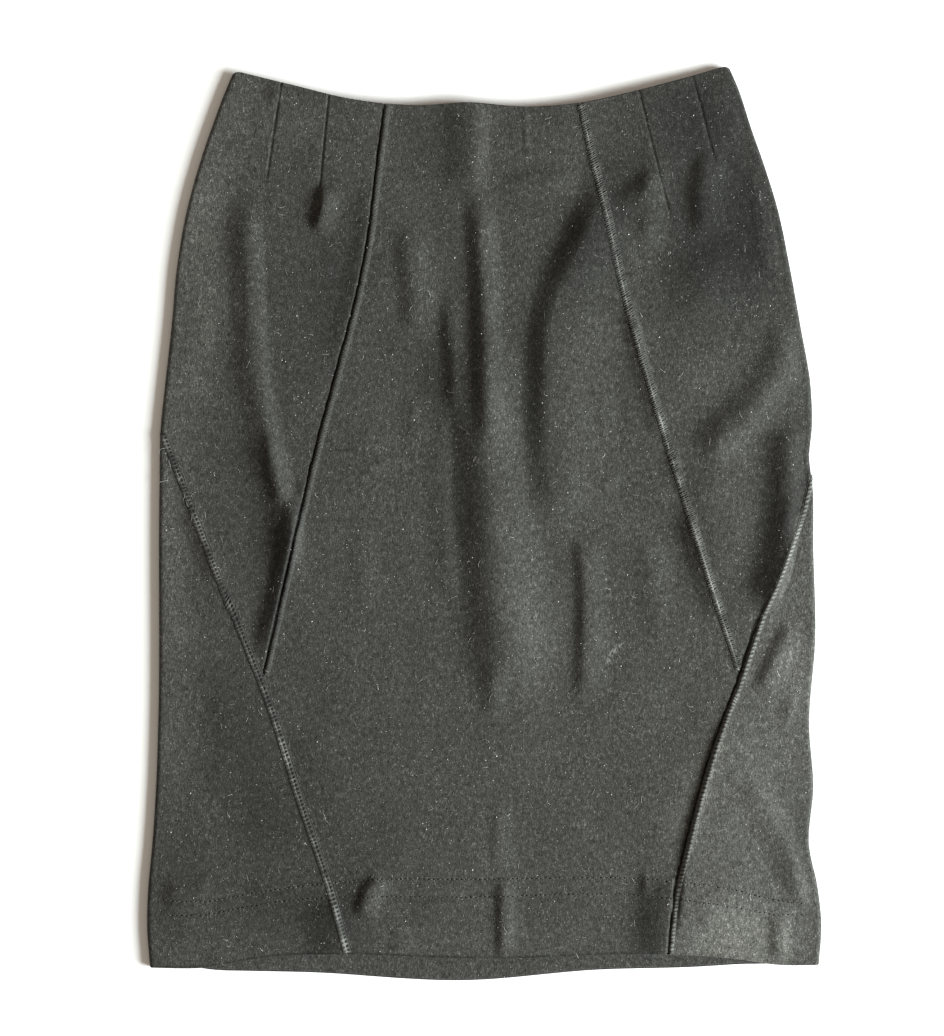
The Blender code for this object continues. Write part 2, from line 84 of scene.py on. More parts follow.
# How finely the cloth is made
ROW_STEP = 2.4
BACK_ROW_STEP = 4.5
TIP_WIDTH = 2.6         # an upper side panel ends where it is this wide
MEET_WIDTH = 8.0        # and a lower one starts where it is this wide

Edge = namedtuple("Edge", "across drop")
Station = namedtuple("Station", "drop out")
Dart = namedtuple("Dart", "start end")
Side = namedtuple("Side", "name sign edge upper_seam lower_seam darts")
Crease = namedtuple("Crease", "height left right fade crest")
Patch = namedtuple("Patch", "tone x drop half_length half_width turn")
Seam = namedtuple("Seam", "groove lip left_run right_run ridge ridge_at ridge_half")
Ladder = namedtuple("Ladder", "kind half height low high loops pitch slant columns step")
HemRow = namedtuple("HemRow", "across top_row second_row")

WAIST_EDGE = (
    Edge(-186, 4), Edge(-146, 14), Edge(-95, 26), Edge(-53, 30), Edge(-11, 28),
    Edge(30, 31), Edge(71, 28), Edge(113, 19), Edge(154, 8), Edge(181, 0),
)
HEM_EDGE = (
    Edge(-248, 668), Edge(-205, 668), Edge(-175, 662.5), Edge(0, 661.5), Edge(185, 661.5),
    Edge(218, 666), Edge(248, 666),
)
BACK_HEM_SHOWS = (
    Edge(-212, 0), Edge(-175, 8.5), Edge(-106, 15), Edge(-35, 17), Edge(71, 11.5),
    Edge(160, 8.5), Edge(212, 0),
)
LEFT = Side(
    "left", -1,
    edge=(
        Station(0, 184), Station(16, 191), Station(45, 202), Station(75, 212), Station(104, 220),
        Station(149, 228), Station(193, 232), Station(238, 237), Station(267, 240), Station(312, 241),
        Station(490, 242), Station(534, 243.5), Station(579, 246.5), Station(612, 249.5),
        Station(640, 250.1), Station(668, 248),
    ),
    upper_seam=(
        Station(29, 74.5), Station(87, 82), Station(127, 87), Station(172, 96), Station(229, 111),
        Station(285, 126), Station(367, 145), Station(454, 165),
    ),
    lower_seam=(
        Station(206, 261), Station(265, 239), Station(307, 223), Station(365, 201), Station(419, 180.5),
        Station(477, 158), Station(542, 137.5), Station(620, 111.5), Station(661, 100.5),
    ),
    darts=(Dart(Station(24, 116), Station(110, 124)), Dart(Station(15, 151), Station(81, 161))),
)
RIGHT = Side(
    "right", 1,
    edge=(
        Station(0, 181), Station(16, 188), Station(45, 197.5), Station(75, 208), Station(104, 217),
        Station(149, 226.5), Station(193, 234.5), Station(238, 242), Station(267, 243), Station(290, 241),
        Station(312, 243.5), Station(356, 244), Station(423, 245.5), Station(490, 241), Station(534, 244),
        Station(579, 241), Station(608, 247), Station(638, 250), Station(667, 248),
    ),
    upper_seam=(
        Station(29, 71.5), Station(67, 80), Station(99, 88), Station(167, 103.5), Station(217, 117),
        Station(317, 147), Station(406, 175), Station(445, 188.5),
    ),
    lower_seam=(
        Station(238, 264), Station(300, 240), Station(333, 232), Station(366, 219.5), Station(410, 202),
        Station(445, 190.5), Station(512, 166.5), Station(576, 149), Station(611, 140.5),
        Station(660, 135),
    ),
    darts=(Dart(Station(18, 114.5), Station(107, 136.5)), Dart(Station(9, 155), Station(70, 171))),
)
SIDES = (LEFT, RIGHT)

RELIEF = 1.8            # a front crease of height 1 stands this high

# Each crease is a soft ridge: its height as a share of RELIEF, how far it slopes down on its left and on its right, the
# length over which it dies out at its ends, and the points that its crest runs through. Going down
# its crest its left is to the left; a crest that runs to the right has its left side below it.
FRONT_CREASES = (
    # Down the middle
    Crease(3.0, 14, 15, 45, ((-6, 84), (-3, 120), (0, 170), (2, 220), (5, 290))),
    Crease(4.2, 32, 42, 60, ((-12, 185), (-4, 235), (3, 290), (8, 350), (13, 410), (18, 485))),
    Crease(0.8, 18, 9, 40, ((-38, 190), (-32, 260), (-30, 330), (-23, 410))),
    Crease(1.8, 11, 12, 30, ((-26, 165), (-24, 210), (-22, 270))),
    Crease(1.2, 14, 12, 20, ((7, 435), (8, 490))),
    Crease(0.6, 8, 12, 25, ((10, 535), (10, 605))),
    Crease(1.7, 8, 12, 20, ((14, 596), (14, 668))),
    # From the upper right seam down, right of the middle
    Crease(3.1, 20, 58, 40, ((96, 78), (82, 112), (67, 145), (54, 175), (47, 215), (47, 280), (53, 350))),
    Crease(1.5, 26, 30, 20, ((86, 104), (74, 138), (60, 168))),
    Crease(0.9, 15, 10, 18, ((12, 86), (45, 84), (72, 82))),
    Crease(1.9, 10, 20, 25, ((71, 342), (75, 395), (73, 475))),
    Crease(0.9, 16, 18, 30, ((120, 340), (124, 385), (133, 445))),
    Crease(0.9, 6, 9, 9, ((84, 316), (104, 300))),
    Crease(0.6, 8, 12, 18, ((86, 235), (90, 285))),
    # Against the upper right seam
    Crease(1.4, 13, 5, 25, ((106, 168), (117, 215), (127, 255), (135, 285))),
    Crease(1.0, 14, 5, 12, ((140, 283), (145, 318))),
    Crease(1.7, 14, 5, 22, ((150, 325), (158, 355), (167, 385), (178, 415))),
    # The upper right panel
    Crease(1.8, 14, 16, 16, ((130, 74), (117, 92), (98, 106))),
    Crease(1.3, 10, 18, 22, ((122, 72), (120, 108), (122, 145))),
    Crease(1.7, 34, 26, 26, ((158, 132), (164, 198))),
    Crease(1.4, 55, 10, 20, ((190, 2), (204, 62))),
    Crease(2.2, 13, 20, 18, ((168, 58), (162, 85), (161, 105), (165, 130))),
    Crease(1.6, 18, 10, 25, ((208, 62), (210, 110), (213, 165))),
    Crease(3.3, 24, 16, 22, ((240, 188), (225, 214), (210, 240), (188, 266), (158, 296))),
    Crease(1.0, 14, 6, 15, ((231, 212), (230, 265))),
    Crease(1.6, 30, 34, 30, ((170, 282), (168, 340), (173, 392))),
    Crease(5.2, 24, 8, 24, ((233, 262), (229, 300), (228, 335), (221, 372), (207, 408))),
    # The upper left panel
    Crease(3.0, 7, 15, 12, ((-118, 86), (-120, 108), (-127, 126))),
    Crease(0.8, 9, 6, 10, ((-152, 12), (-157, 32))),
    Crease(0.5, 9, 7, 12, ((-166, 104), (-142, 92))),
    Crease(0.4, 8, 8, 12, ((-138, 152), (-106, 150))),
    Crease(2.7, 18, 12, 40, ((-176, 90), (-170, 200), (-166, 240), (-156, 290), (-144, 338), (-146, 385))),
    Crease(1.4, 9, 10, 20, ((-160, 268), (-156, 300), (-148, 332))),
    # Against the upper left seam
    Crease(0.9, 14, 1, 35, ((-80, 70), (-88, 130), (-98, 180), (-112, 232))),
    Crease(2.9, 14, 1, 34, ((-130, 300), (-147.5, 375), (-164, 450))),
    # Left of the middle
    Crease(1.9, 26, 14, 25, ((-9, 16), (-8, 62), (-10, 104))),
    Crease(0.4, 4, 4, 12, ((30, 28), (32, 72))),
    Crease(1.7, 15, 20, 25, ((-59, 112), (-53, 160), (-50, 205))),
    Crease(0.7, 14, 14, 20, ((-52, 238), (-50, 288))),
    Crease(0.5, 8, 8, 12, ((-68, 290), (-94, 305))),
    Crease(0.6, 14, 14, 30, ((-92, 320), (-90, 405))),
    # The lower left panel, and the hem
    Crease(1.1, 14, 3, 22, ((-220, 316), (-206, 352), (-191, 392))),
    Crease(1.4, 22, 15, 14, ((-242, 614), (-198, 611))),
    Crease(2.2, 30, 3, 16, ((-113, 615), (-101, 668))),
    Crease(2.3, 8, 15, 9, ((-74, 600), (-86, 611), (-92, 632))),
    Crease(0.7, 12, 14, 10, ((-62, 632), (-62, 662))),
    # The lower right panel, and the hem
    Crease(1.9, 4, 62, 50, ((186, 465), (168, 520), (152, 580), (141, 664))),
    Crease(1.8, 11, 16, 14, ((231, 410), (217, 437), (204, 468))),
    Crease(0.8, 12, 12, 12, ((236, 460), (221, 492))),
    Crease(1.8, 20, 14, 24, ((196, 525), (214, 562), (230, 592), (244, 632))),
    Crease(1.6, 11, 10, 14, ((219, 622), (219, 668))),
    Crease(0.7, 12, 20, 12, ((164, 608), (166, 642))),
    Crease(2.8, 30, 1, 16, ((140, 598), (134, 668))),
    Crease(0.8, 5, 6, 7, ((119, 594), (119, 616))),
)
# The back lies on the surface, so its creases are lifted off it: they are fewer and softer
BACK_CREASES = (
    Crease(1.3, 22, 26, 50, ((-42, 120), (-36, 230), (-44, 380))),
    Crease(1.1, 18, 24, 45, ((64, 160), (58, 290), (70, 450))),
    Crease(1.2, 16, 16, 35, ((-150, 210), (-138, 300), (-142, 380))),
    Crease(1.0, 14, 18, 30, ((176, 230), (160, 300), (150, 350))),
    Crease(0.9, 12, 16, 25, ((-96, 470), (-88, 560), (-92, 640))),
    Crease(0.8, 14, 14, 25, ((110, 520), (118, 640))),
)
# Patches of painted light and shade, paler or darker: the tone, the patch's middle, its half length
# and half width, and how many degrees its length leans to the right going down
PAINTED_SHADING_PATCHES = (
    Patch(-0.62, 172, 100, 135, 84, 10),
    Patch(0.16, 118, 128, 34, 18, 8),
    Patch(0.16, 165, 235, 62, 30, -62),
    Patch(-0.66, 82, 125, 92, 44, -24),
    Patch(-0.34, -19, 300, 190, 26, 2),
    Patch(-0.26, -28, 66, 70, 28, 0),
    Patch(0.14, 24, 380, 130, 26, 6),
    Patch(-0.50, 38, 225, 120, 18, -4),
    Patch(-0.20, -12, 215, 80, 60, 0),
    Patch(-0.16, -130, 195, 190, 70, -10),
    Patch(-0.30, -162, 350, 110, 26, 12),
    Patch(0.55, -203, 85, 150, 36, -18),
    Patch(0.46, -229, 330, 340, 30, 0),
    Patch(0.16, -150, 45, 30, 60, 0),
    Patch(-0.48, 180, 138, 78, 48, 0),
    Patch(-0.40, 150, 26, 50, 80, 0),
    Patch(-0.36, -106, 160, 100, 32, -12),
    Patch(0.52, -204, 190, 120, 26, -6),
    Patch(-0.60, -151, 375, 80, 10, -13),
    Patch(0.60, 160, 525, 110, 22, -18),
    Patch(0.62, 186, 650, 62, 60, 90),
    Patch(0.24, 234, 446, 44, 26, 0),
    Patch(-0.20, -150, 632, 44, 90, 0),
    Patch(-0.26, 222, 590, 60, 22, -30),
    Patch(0.14, 46, 440, 80, 34, 6),
    Patch(-0.25, -176, 520, 120, 38, 8),
    Patch(-0.27, -130, 560, 190, 95, 14),
    Patch(-0.20, -222, 606, 22, 50, 84),
    Patch(-0.35, -118, 642, 44, 34, 0),
    Patch(-0.45, 119, 638, 44, 26, 0),
    Patch(-0.52, 219, 338, 96, 26, -14),
    Patch(-0.12, 150, 372, 80, 22, 20),
)
# The lower right panel is painted paler all over: painted light
PANEL_PAINTED_LIGHT = {"front_lower_side_panel_right": 0.36}
# Painted shade along the front's hem edge
EDGE_SHADE = -1.0       # along the front's hem edge
# Painted shade down in the two deep seams' grooves
GROOVE_SHADE = -1.5     # down in the two deep seams
CREASE_EDGE_RUN = 14.0  # the distance in from the side over which creases die out
BACK_DARTS = (Dart(Station(30, 68), Station(150, 72)), Dart(Station(22, 128), Station(128, 134)))

# The seams, as depths and distances right of the line where two panels meet
LEFT_DEEP_SEAM = Seam(groove=2.6, lip=0.5, left_run=1.1, right_run=1.7, ridge=0.5, ridge_at=3.2, ridge_half=3.6)
RIGHT_DEEP_SEAM = Seam(groove=2.7, lip=0.6, left_run=1.5, right_run=1.6, ridge=1.0, ridge_at=3.0, ridge_half=3.2)
FLAT_SEAM = Seam(groove=0.4, lip=1.0, left_run=0.9, right_run=0.9, ridge=0.25, ridge_at=0.0, ridge_half=5.0)
SEAM_JAG = 0.55         # how far the seams' grooves wander to either side
CORNER_RADIUS = 11.0
FACING_DEPTH = 57.0     # the faced top of the skirt ends here, and shows as a soft ridge
HEM_SINK = 3.3          # the front's hem edge lies this much nearer the back
HEM_SINK_RUN = 26.0
DART_DEPTH = 1.0
DART_INNER_RUN = 1.7    # a dart's groove rises slowly on the side nearer the middle
DART_OUTER_RUN = 0.6

# How far above the hem edge its two rows of stitches run
HEM_ROWS = (
    HemRow(-245, 50, 39), HemRow(-165, 49, 40), HemRow(-65, 57, 44),
    HemRow(100, 57, 45), HemRow(185, 51, 38), HemRow(248, 44, 37),
)
STITCH_PITCH = 3.45
STITCH_DENT = 0.3
STITCH_DENT_HALF = 5.0


# --- Numbers and curves ---------------------------------------------------------------------------

def smooth_curve(points):
    """A smooth function of arrays through (place, value) points, straight beyond its ends."""
    places = np.array([point[0] for point in points], float)
    values = np.array([point[1] for point in points], float)
    spans = np.diff(places)
    chords = np.diff(values) / spans
    inner = (chords[:-1] * spans[1:] + chords[1:] * spans[:-1]) / (spans[:-1] + spans[1:])
    slopes = np.concatenate(([chords[0]], inner, [chords[-1]]))

    def value_at(place):
        place = np.asarray(place, float)
        i = np.clip(np.searchsorted(places, place, side="right") - 1, 0, len(spans) - 1)
        span = spans[i]
        t = (place - places[i]) / span
        bent = (
            values[i] * (2 * t**3 - 3 * t**2 + 1) + span * slopes[i] * (t**3 - 2 * t**2 + t)
            + values[i + 1] * (3 * t**2 - 2 * t**3) + span * slopes[i + 1] * (t**3 - t**2)
        )
        before = values[0] + slopes[0] * (place - places[0])
        after = values[-1] + slopes[-1] * (place - places[-1])
        return np.where(place < places[0], before, np.where(place > places[-1], after, bent))

    return value_at


def soft(share):
    """0 below 0, 1 above 1, and a smooth step between."""
    share = np.clip(share, 0.0, 1.0)
    return share * share * (3 - 2 * share)


def solve(function, low, high):
    """Where a rising function crosses 0."""
    for _ in range(50):
        middle = (low + high) / 2
        if function(middle) < 0:
            low = middle
        else:
            high = middle
    return high


waist_line = smooth_curve(WAIST_EDGE)
front_hem = smooth_curve(HEM_EDGE)
back_hem_shows = smooth_curve(BACK_HEM_SHOWS)
edge_curves = {side.sign: smooth_curve(side.edge) for side in SIDES}
top_row_above_hem = smooth_curve([(row.across, row.top_row) for row in HEM_ROWS])
second_row_above_hem = smooth_curve([(row.across, row.second_row) for row in HEM_ROWS])


def waist_corner(side):
    """How far out the side's edge is where the waist's rounded corner meets it."""
    out = edge_curves[side.sign](0.0)
    return float(edge_curves[side.sign](waist_line(side.sign * out) + CORNER_RADIUS))


waist_corners = {side.sign: waist_corner(side) for side in SIDES}


def front_waist(x):
    """The waist edge, with its two corners rounded."""
    corner = np.where(np.asarray(x) < 0, waist_corners[-1], waist_corners[1])
    share = np.clip((np.abs(x) - corner + CORNER_RADIUS) / CORNER_RADIUS, 0, 1)
    return waist_line(x) + CORNER_RADIUS * (1 - np.sqrt(1 - share**2))


def front_drop(x, fall):
    return front_waist(x) * (1 - fall) + front_hem(x) * fall


def back_waist(x):
    return front_waist(x) + BACK_DIP * soft((170 - np.abs(x)) / 60)


def back_drop(x, fall):
    shows = np.where(np.abs(x) < BACK_HEM_SHOWS[-1].across, back_hem_shows(x), 0.0)
    return back_waist(x) * (1 - fall) + (front_hem(x) + shows) * fall


def side_drop(side, across, fall):
    """The drop of a place on a side panel. Beyond the fold it is the drop at the fold."""
    drop = LENGTH * fall
    for _ in range(6):
        drop = front_drop(side.sign * np.minimum(across, edge_curves[side.sign](drop)), fall)
    return drop


def fold_start(side, drop):
    return edge_curves[side.sign](drop) - FOLD_RADIUS


def roll():
    """The length of the roll under, measured in the middle of the cloth."""
    return math.pi * (FOLD_RADIUS - CLOTH / 2)


def centre_back(fall):
    return CENTRE_BACK_SHIFT * soft((fall - 0.35) / 0.65)


def seam_in_fall(side, table):
    """A seam's distance out as a function of the fall."""
    points = []
    for row in table:
        x = side.sign * min(row.out, float(edge_curves[side.sign](row.drop)))
        fall = (row.drop - waist_line(x)) / (front_hem(x) - waist_line(x))
        points.append((float(fall), row.out))
    return smooth_curve(points)


upper_seams = {side.sign: seam_in_fall(side, side.upper_seam) for side in SIDES}
lower_seams = {side.sign: seam_in_fall(side, side.lower_seam) for side in SIDES}
upper_seams_at = {side.sign: smooth_curve(side.upper_seam) for side in SIDES}
lower_seams_at = {side.sign: smooth_curve(side.lower_seam) for side in SIDES}


def side_seam(side, fall):
    """The side seam's distance out along the cloth."""
    return fold_start(side, side_drop(side, LENGTH, fall)) + roll() + UNDER


def tip_fall(side):
    def narrowed(fall):
        return TIP_WIDTH - (lower_seams[side.sign](fall) - upper_seams[side.sign](fall))

    return solve(narrowed, 0.4, 0.9)


def meet_fall(side):
    def widened(fall):
        return side_seam(side, fall) - lower_seams[side.sign](fall) - MEET_WIDTH

    return solve(widened, 0.1, 0.6)


tips = {side.sign: tip_fall(side) for side in SIDES}
tip_drops = {sign: LENGTH * fall for sign, fall in tips.items()}


# --- The cloth's relief, kept on a grid of square cells and read between its points ---------------

FIELD_LOW = (-262.0, -14.0)
FIELD_STEP = 1.0
FIELD_SHAPE = (525, 712)
field_x = FIELD_LOW[0] + FIELD_STEP * np.arange(FIELD_SHAPE[0])
field_drop = FIELD_LOW[1] + FIELD_STEP * np.arange(FIELD_SHAPE[1])


def read_field(field, x, drop):
    """The field's value at each place, from the four points around it."""
    u = np.clip((x - FIELD_LOW[0]) / FIELD_STEP, 0, FIELD_SHAPE[0] - 1.001)
    v = np.clip((drop - FIELD_LOW[1]) / FIELD_STEP, 0, FIELD_SHAPE[1] - 1.001)
    i = u.astype(int)
    j = v.astype(int)
    s = u - i
    t = v - j
    upper = field[i, j] * (1 - s) + field[i + 1, j] * s
    lower = field[i, j + 1] * (1 - s) + field[i + 1, j + 1] * s
    return upper * (1 - t) + lower * t


def crease_ridge(crease, x, drop):
    """The crease's height at each place, from the signed distance to its crest."""
    places = np.arange(len(crease.crest))
    steps = np.linspace(0, places[-1], 6 * int(places[-1]) + 1)
    line_x = smooth_curve([(i, point[0]) for i, point in enumerate(crease.crest)])(steps)
    line_drop = smooth_curve([(i, point[1]) for i, point in enumerate(crease.crest)])(steps)
    run = 0.0
    nearest = np.full(x.shape, 1e9)
    on_left = np.zeros(x.shape, bool)
    along = np.zeros(x.shape)
    for k in range(len(steps) - 1):
        step_x = line_x[k + 1] - line_x[k]
        step_drop = line_drop[k + 1] - line_drop[k]
        length = math.hypot(step_x, step_drop)
        share = ((x - line_x[k]) * step_x + (drop - line_drop[k]) * step_drop) / length**2
        share = np.clip(share, 0.0, 1.0)
        off_x = x - line_x[k] - step_x * share
        off_drop = drop - line_drop[k] - step_drop * share
        distance = np.hypot(off_x, off_drop)
        closer = distance < nearest
        nearest = np.where(closer, distance, nearest)
        on_left = np.where(closer, step_x * off_drop - step_drop * off_x > 0, on_left)
        along = np.where(closer, run + share * length, along)
        run += length
    width = np.where(on_left, crease.left, crease.right)
    ends = soft(along / crease.fade) * soft((run - along) / crease.fade)
    return crease.height * soft(1 - nearest / width) * ends


def crease_field(creases, relief):
    """All the creases' heights on the grid, each worked out only where it reaches."""
    field = np.zeros(FIELD_SHAPE)
    for crease in creases:
        reach = max(crease.left, crease.right)
        points = np.array(crease.crest, float)
        low = np.floor((points.min(0) - reach - FIELD_LOW) / FIELD_STEP).astype(int)
        high = np.ceil((points.max(0) + reach - FIELD_LOW) / FIELD_STEP).astype(int) + 1
        low = np.maximum(low, 0)
        window = (slice(low[0], high[0]), slice(low[1], high[1]))
        x, drop = np.meshgrid(field_x[window[0]], field_drop[window[1]], indexing="ij")
        field[window] += relief * crease_ridge(crease, x, drop)
    return field


def lump_field(seed, cell, stretch=1.0):
    """Smooth random lumps between -1 and 1, about one cell across, on the grid."""
    random = np.random.default_rng(seed)
    counts = (int(FIELD_SHAPE[0] / cell) + 3, int(FIELD_SHAPE[1] / (cell * stretch)) + 3)
    coarse = random.uniform(-1, 1, counts)
    u = np.arange(FIELD_SHAPE[0]) / cell
    v = np.arange(FIELD_SHAPE[1]) / (cell * stretch)
    i = u.astype(int)
    j = v.astype(int)
    s = soft(u - i)[:, None]
    t = soft(v - j)[None, :]
    rows = coarse[i] * (1 - s) + coarse[i + 1] * s
    return rows[:, j] * (1 - t) + rows[:, j + 1] * t


front_creases = crease_field(FRONT_CREASES, RELIEF)
back_creases = crease_field(BACK_CREASES, 1.0)
cloth_lumps = (
    0.45 * lump_field(10, 42, 1.5) + 0.24 * lump_field(11, 17, 1.6)
    + 0.07 * lump_field(12, 7, 1.4) + 0.03 * lump_field(13, 3.2)
)

nap_lumps = 0.7 * lump_field(20, 21, 1.3) + 0.3 * lump_field(21, 9, 1.3)
seam_jags = SEAM_JAG * lump_field(22, 3.0, 1.3)


def seam_shape(seam, right):
    """The height of a seam's groove and ridge at a distance right of its line."""
    hump = soft(1 - np.abs(right - seam.ridge_at) / seam.ridge_half)
    return seam.ridge * hump - seam.groove * hollow_of(seam, right)


def seam_kind(side, is_upper):
    """The left upper and the right lower seam have a deep dark groove on their left."""
    if (side.sign < 0) != is_upper:
        return FLAT_SEAM
    return LEFT_DEEP_SEAM if is_upper else RIGHT_DEEP_SEAM


def hollow_of(seam, right):
    """How far down in a seam's groove a place is, from 0 to 1."""
    return np.where(right < 0, seam.lip * soft(1 + right / seam.left_run), soft(1 - right / seam.right_run))


def deep_groove(x, drop):
    """How far down a place is in either deep seam's groove."""
    jag = read_field(seam_jags, x, drop)
    left = x + jag + upper_seams_at[-1](drop)
    right = x + jag - lower_seams_at[1](drop)
    above_tip = soft((tip_drops[-1] - drop) / 12)
    return np.maximum(hollow_of(LEFT_DEEP_SEAM, left) * above_tip, 0.6 * hollow_of(RIGHT_DEEP_SEAM, right))


def seam_relief(x, drop):
    total = np.zeros(np.shape(x))
    jag = read_field(seam_jags, x, drop)
    for side in SIDES:
        upper = side.sign * upper_seams_at[side.sign](drop)
        lower = side.sign * lower_seams_at[side.sign](drop)
        apart = (lower - upper) * side.sign
        total += seam_shape(seam_kind(side, True), x + jag - upper) * soft((apart - TIP_WIDTH) / 5)
        reach = soft((edge_curves[side.sign](drop) - 4 - side.sign * lower) / 6)
        total += seam_shape(seam_kind(side, False), x + jag - lower) * reach
    return total


def dart_relief(x, drop, darts, sign):
    depth = np.zeros(np.shape(x))
    for dart in darts:
        share = (drop - dart.start.drop) / (dart.end.drop - dart.start.drop)
        line = dart.start.out + (dart.end.out - dart.start.out) * share
        inwards = line - x * sign
        groove = np.where(inwards < 0, soft(1 + inwards / DART_OUTER_RUN), soft(1 - inwards / DART_INNER_RUN))
        depth += DART_DEPTH * groove * soft((1.12 - share) / 0.12)
    return -depth


def stitch_relief(x, drop):
    """The two shallow dents along the hem's rows of stitches."""
    total = np.zeros(np.shape(x))
    for above in (top_row_above_hem, second_row_above_hem):
        row = front_hem(x) - above(x)
        total -= STITCH_DENT * soft(1 - np.abs(drop - row) / STITCH_DENT_HALF)
    return total


def front_rise(x, drop, seams=True):
    """How far the front's outer face stands above the height that it has at its sides."""
    from_left = x + fold_start(LEFT, drop)
    from_right = fold_start(RIGHT, drop) - x
    crown = CROWN * soft(from_left / CROWN_RUN) * soft(from_right / CROWN_RUN)
    near_side = soft(np.minimum(from_left, from_right) / CREASE_EDGE_RUN)
    relief = read_field(front_creases, x, drop) + read_field(cloth_lumps, x, drop)
    facing = drop - front_waist(x) - FACING_DEPTH
    relief = relief + 0.55 * soft(1 - np.abs(facing) / np.where(facing < 0, 15, 13))
    crown = crown - HEM_SINK * soft(1 - (front_hem(x) - drop) / HEM_SINK_RUN) * soft(from_left / 40) * soft(from_right / 40)
    if seams:
        darts = np.where(x < 0, dart_relief(x, drop, LEFT.darts, -1), dart_relief(x, drop, RIGHT.darts, 1))
        relief = relief + seam_relief(x, drop) + darts + stitch_relief(x, drop)
    return crown + relief * near_side


def placed(x, drop, z):
    """Points in metres."""
    x, drop, z = np.broadcast_arrays(x, drop, z)
    return np.stack((x, LENGTH / 2 - drop, z), axis=-1) * METRES


def on_top(x, drop, depth, seams=True):
    """Points of the front's top, at a depth below its outer face."""
    step = 0.4
    height = 2 * FOLD_RADIUS + front_rise(x, drop, seams)
    normal_x = front_rise(x - step, drop, seams) - front_rise(x + step, drop, seams)
    normal_y = front_rise(x, drop + step, seams) - front_rise(x, drop - step, seams)
    length = np.sqrt(normal_x**2 + normal_y**2 + (2 * step) ** 2)
    # In a groove the inner face only goes straight down, or it would cross itself
    lean = 0.35 * depth / length
    return placed(x - normal_x * lean, drop + normal_y * lean, height - depth)


def side_point(side, across, fall, depth):
    """Points of a side panel: on top, round the fold, or under the skirt."""
    drop = side_drop(side, across, fall)
    start = fold_start(side, drop)
    top = on_top(side.sign * np.minimum(across, start), drop, depth)
    turn = np.maximum(across - start, 0.0) / (FOLD_RADIUS - CLOTH / 2)
    radius = FOLD_RADIUS - depth
    out = start + radius * np.sin(turn)
    bent = placed(side.sign * out, drop, FOLD_RADIUS + radius * np.cos(turn))
    under_x = side.sign * (start - (across - start - roll()))
    under = placed(under_x, np.maximum(front_drop(under_x, fall) + 0.4 * (1 - fall), drop), depth)
    on_roll = (across > start)[..., None]
    is_under = (turn > math.pi)[..., None]
    return np.where(is_under, under, np.where(on_roll, bent, top))


def recess(x, drop):
    """How far the back is lifted off the surface, over the zip's slider and pull."""
    sideways = soft((38 - np.abs(x)) / (38 - RECESS_HALF_WIDTH))
    downwards = soft((2 * RECESS_LENGTH - (drop - back_waist(0))) / RECESS_LENGTH)
    return RECESS_LIFT * sideways * downwards


def back_point(x, fall, depth):
    """Points of the back, at a depth above its outer face."""
    drop = back_drop(x, fall)
    edge = np.minimum(fold_start(LEFT, drop) + x, fold_start(RIGHT, drop) - x)
    lift = read_field(back_creases, x, drop) * soft((edge - 20) / 30)
    for sign in (-1, 1):
        lift = lift - 0.45 * dart_relief(x, drop, BACK_DARTS, sign)
    seam_gap = 0.5 * soft(1 - np.abs(x - centre_back(fall)) / 2.5)
    return placed(x, drop, recess(x, drop) + lift + seam_gap * (1 - soft(depth)) + depth)


# --- Making meshes from arrays --------------------------------------------------------------------

def make_mesh(name, points, face_groups, material, attributes=None):
    """An object from points in metres and groups of faces, each group an array of one face size."""
    groups = [np.asarray(group) for group in face_groups if len(group)]
    sizes = np.concatenate([np.full(len(group), group.shape[1]) for group in groups])
    corners = np.concatenate([group.ravel() for group in groups])
    mesh = bpy.data.meshes.new(name)
    mesh.vertices.add(len(points))
    mesh.vertices.foreach_set("co", np.asarray(points, np.float32).ravel())
    mesh.loops.add(len(corners))
    mesh.loops.foreach_set("vertex_index", corners.astype(np.int32))
    mesh.polygons.add(len(sizes))
    mesh.polygons.foreach_set("loop_start", np.concatenate(([0], np.cumsum(sizes)[:-1])).astype(np.int32))
    mesh.update(calc_edges=True)
    mesh.shade_smooth()
    for key, values in (attributes or {}).items():
        layer = mesh.attributes.new(key, "FLOAT", "POINT")
        layer.data.foreach_set("value", np.asarray(values, np.float32).ravel())
    mesh.materials.append(material)
    piece = bpy.data.objects.new(name, mesh)
    bpy.context.scene.collection.objects.link(piece)
    return piece


def wall_volume(points, faces):
    """Six times the volume that quads enclose. Its sign tells whether they face out."""
    a, b, c, d = (points[faces[:, k]] for k in range(4))
    return float(np.sum(np.cross(a, b) * c) + np.sum(np.cross(a, c) * d))


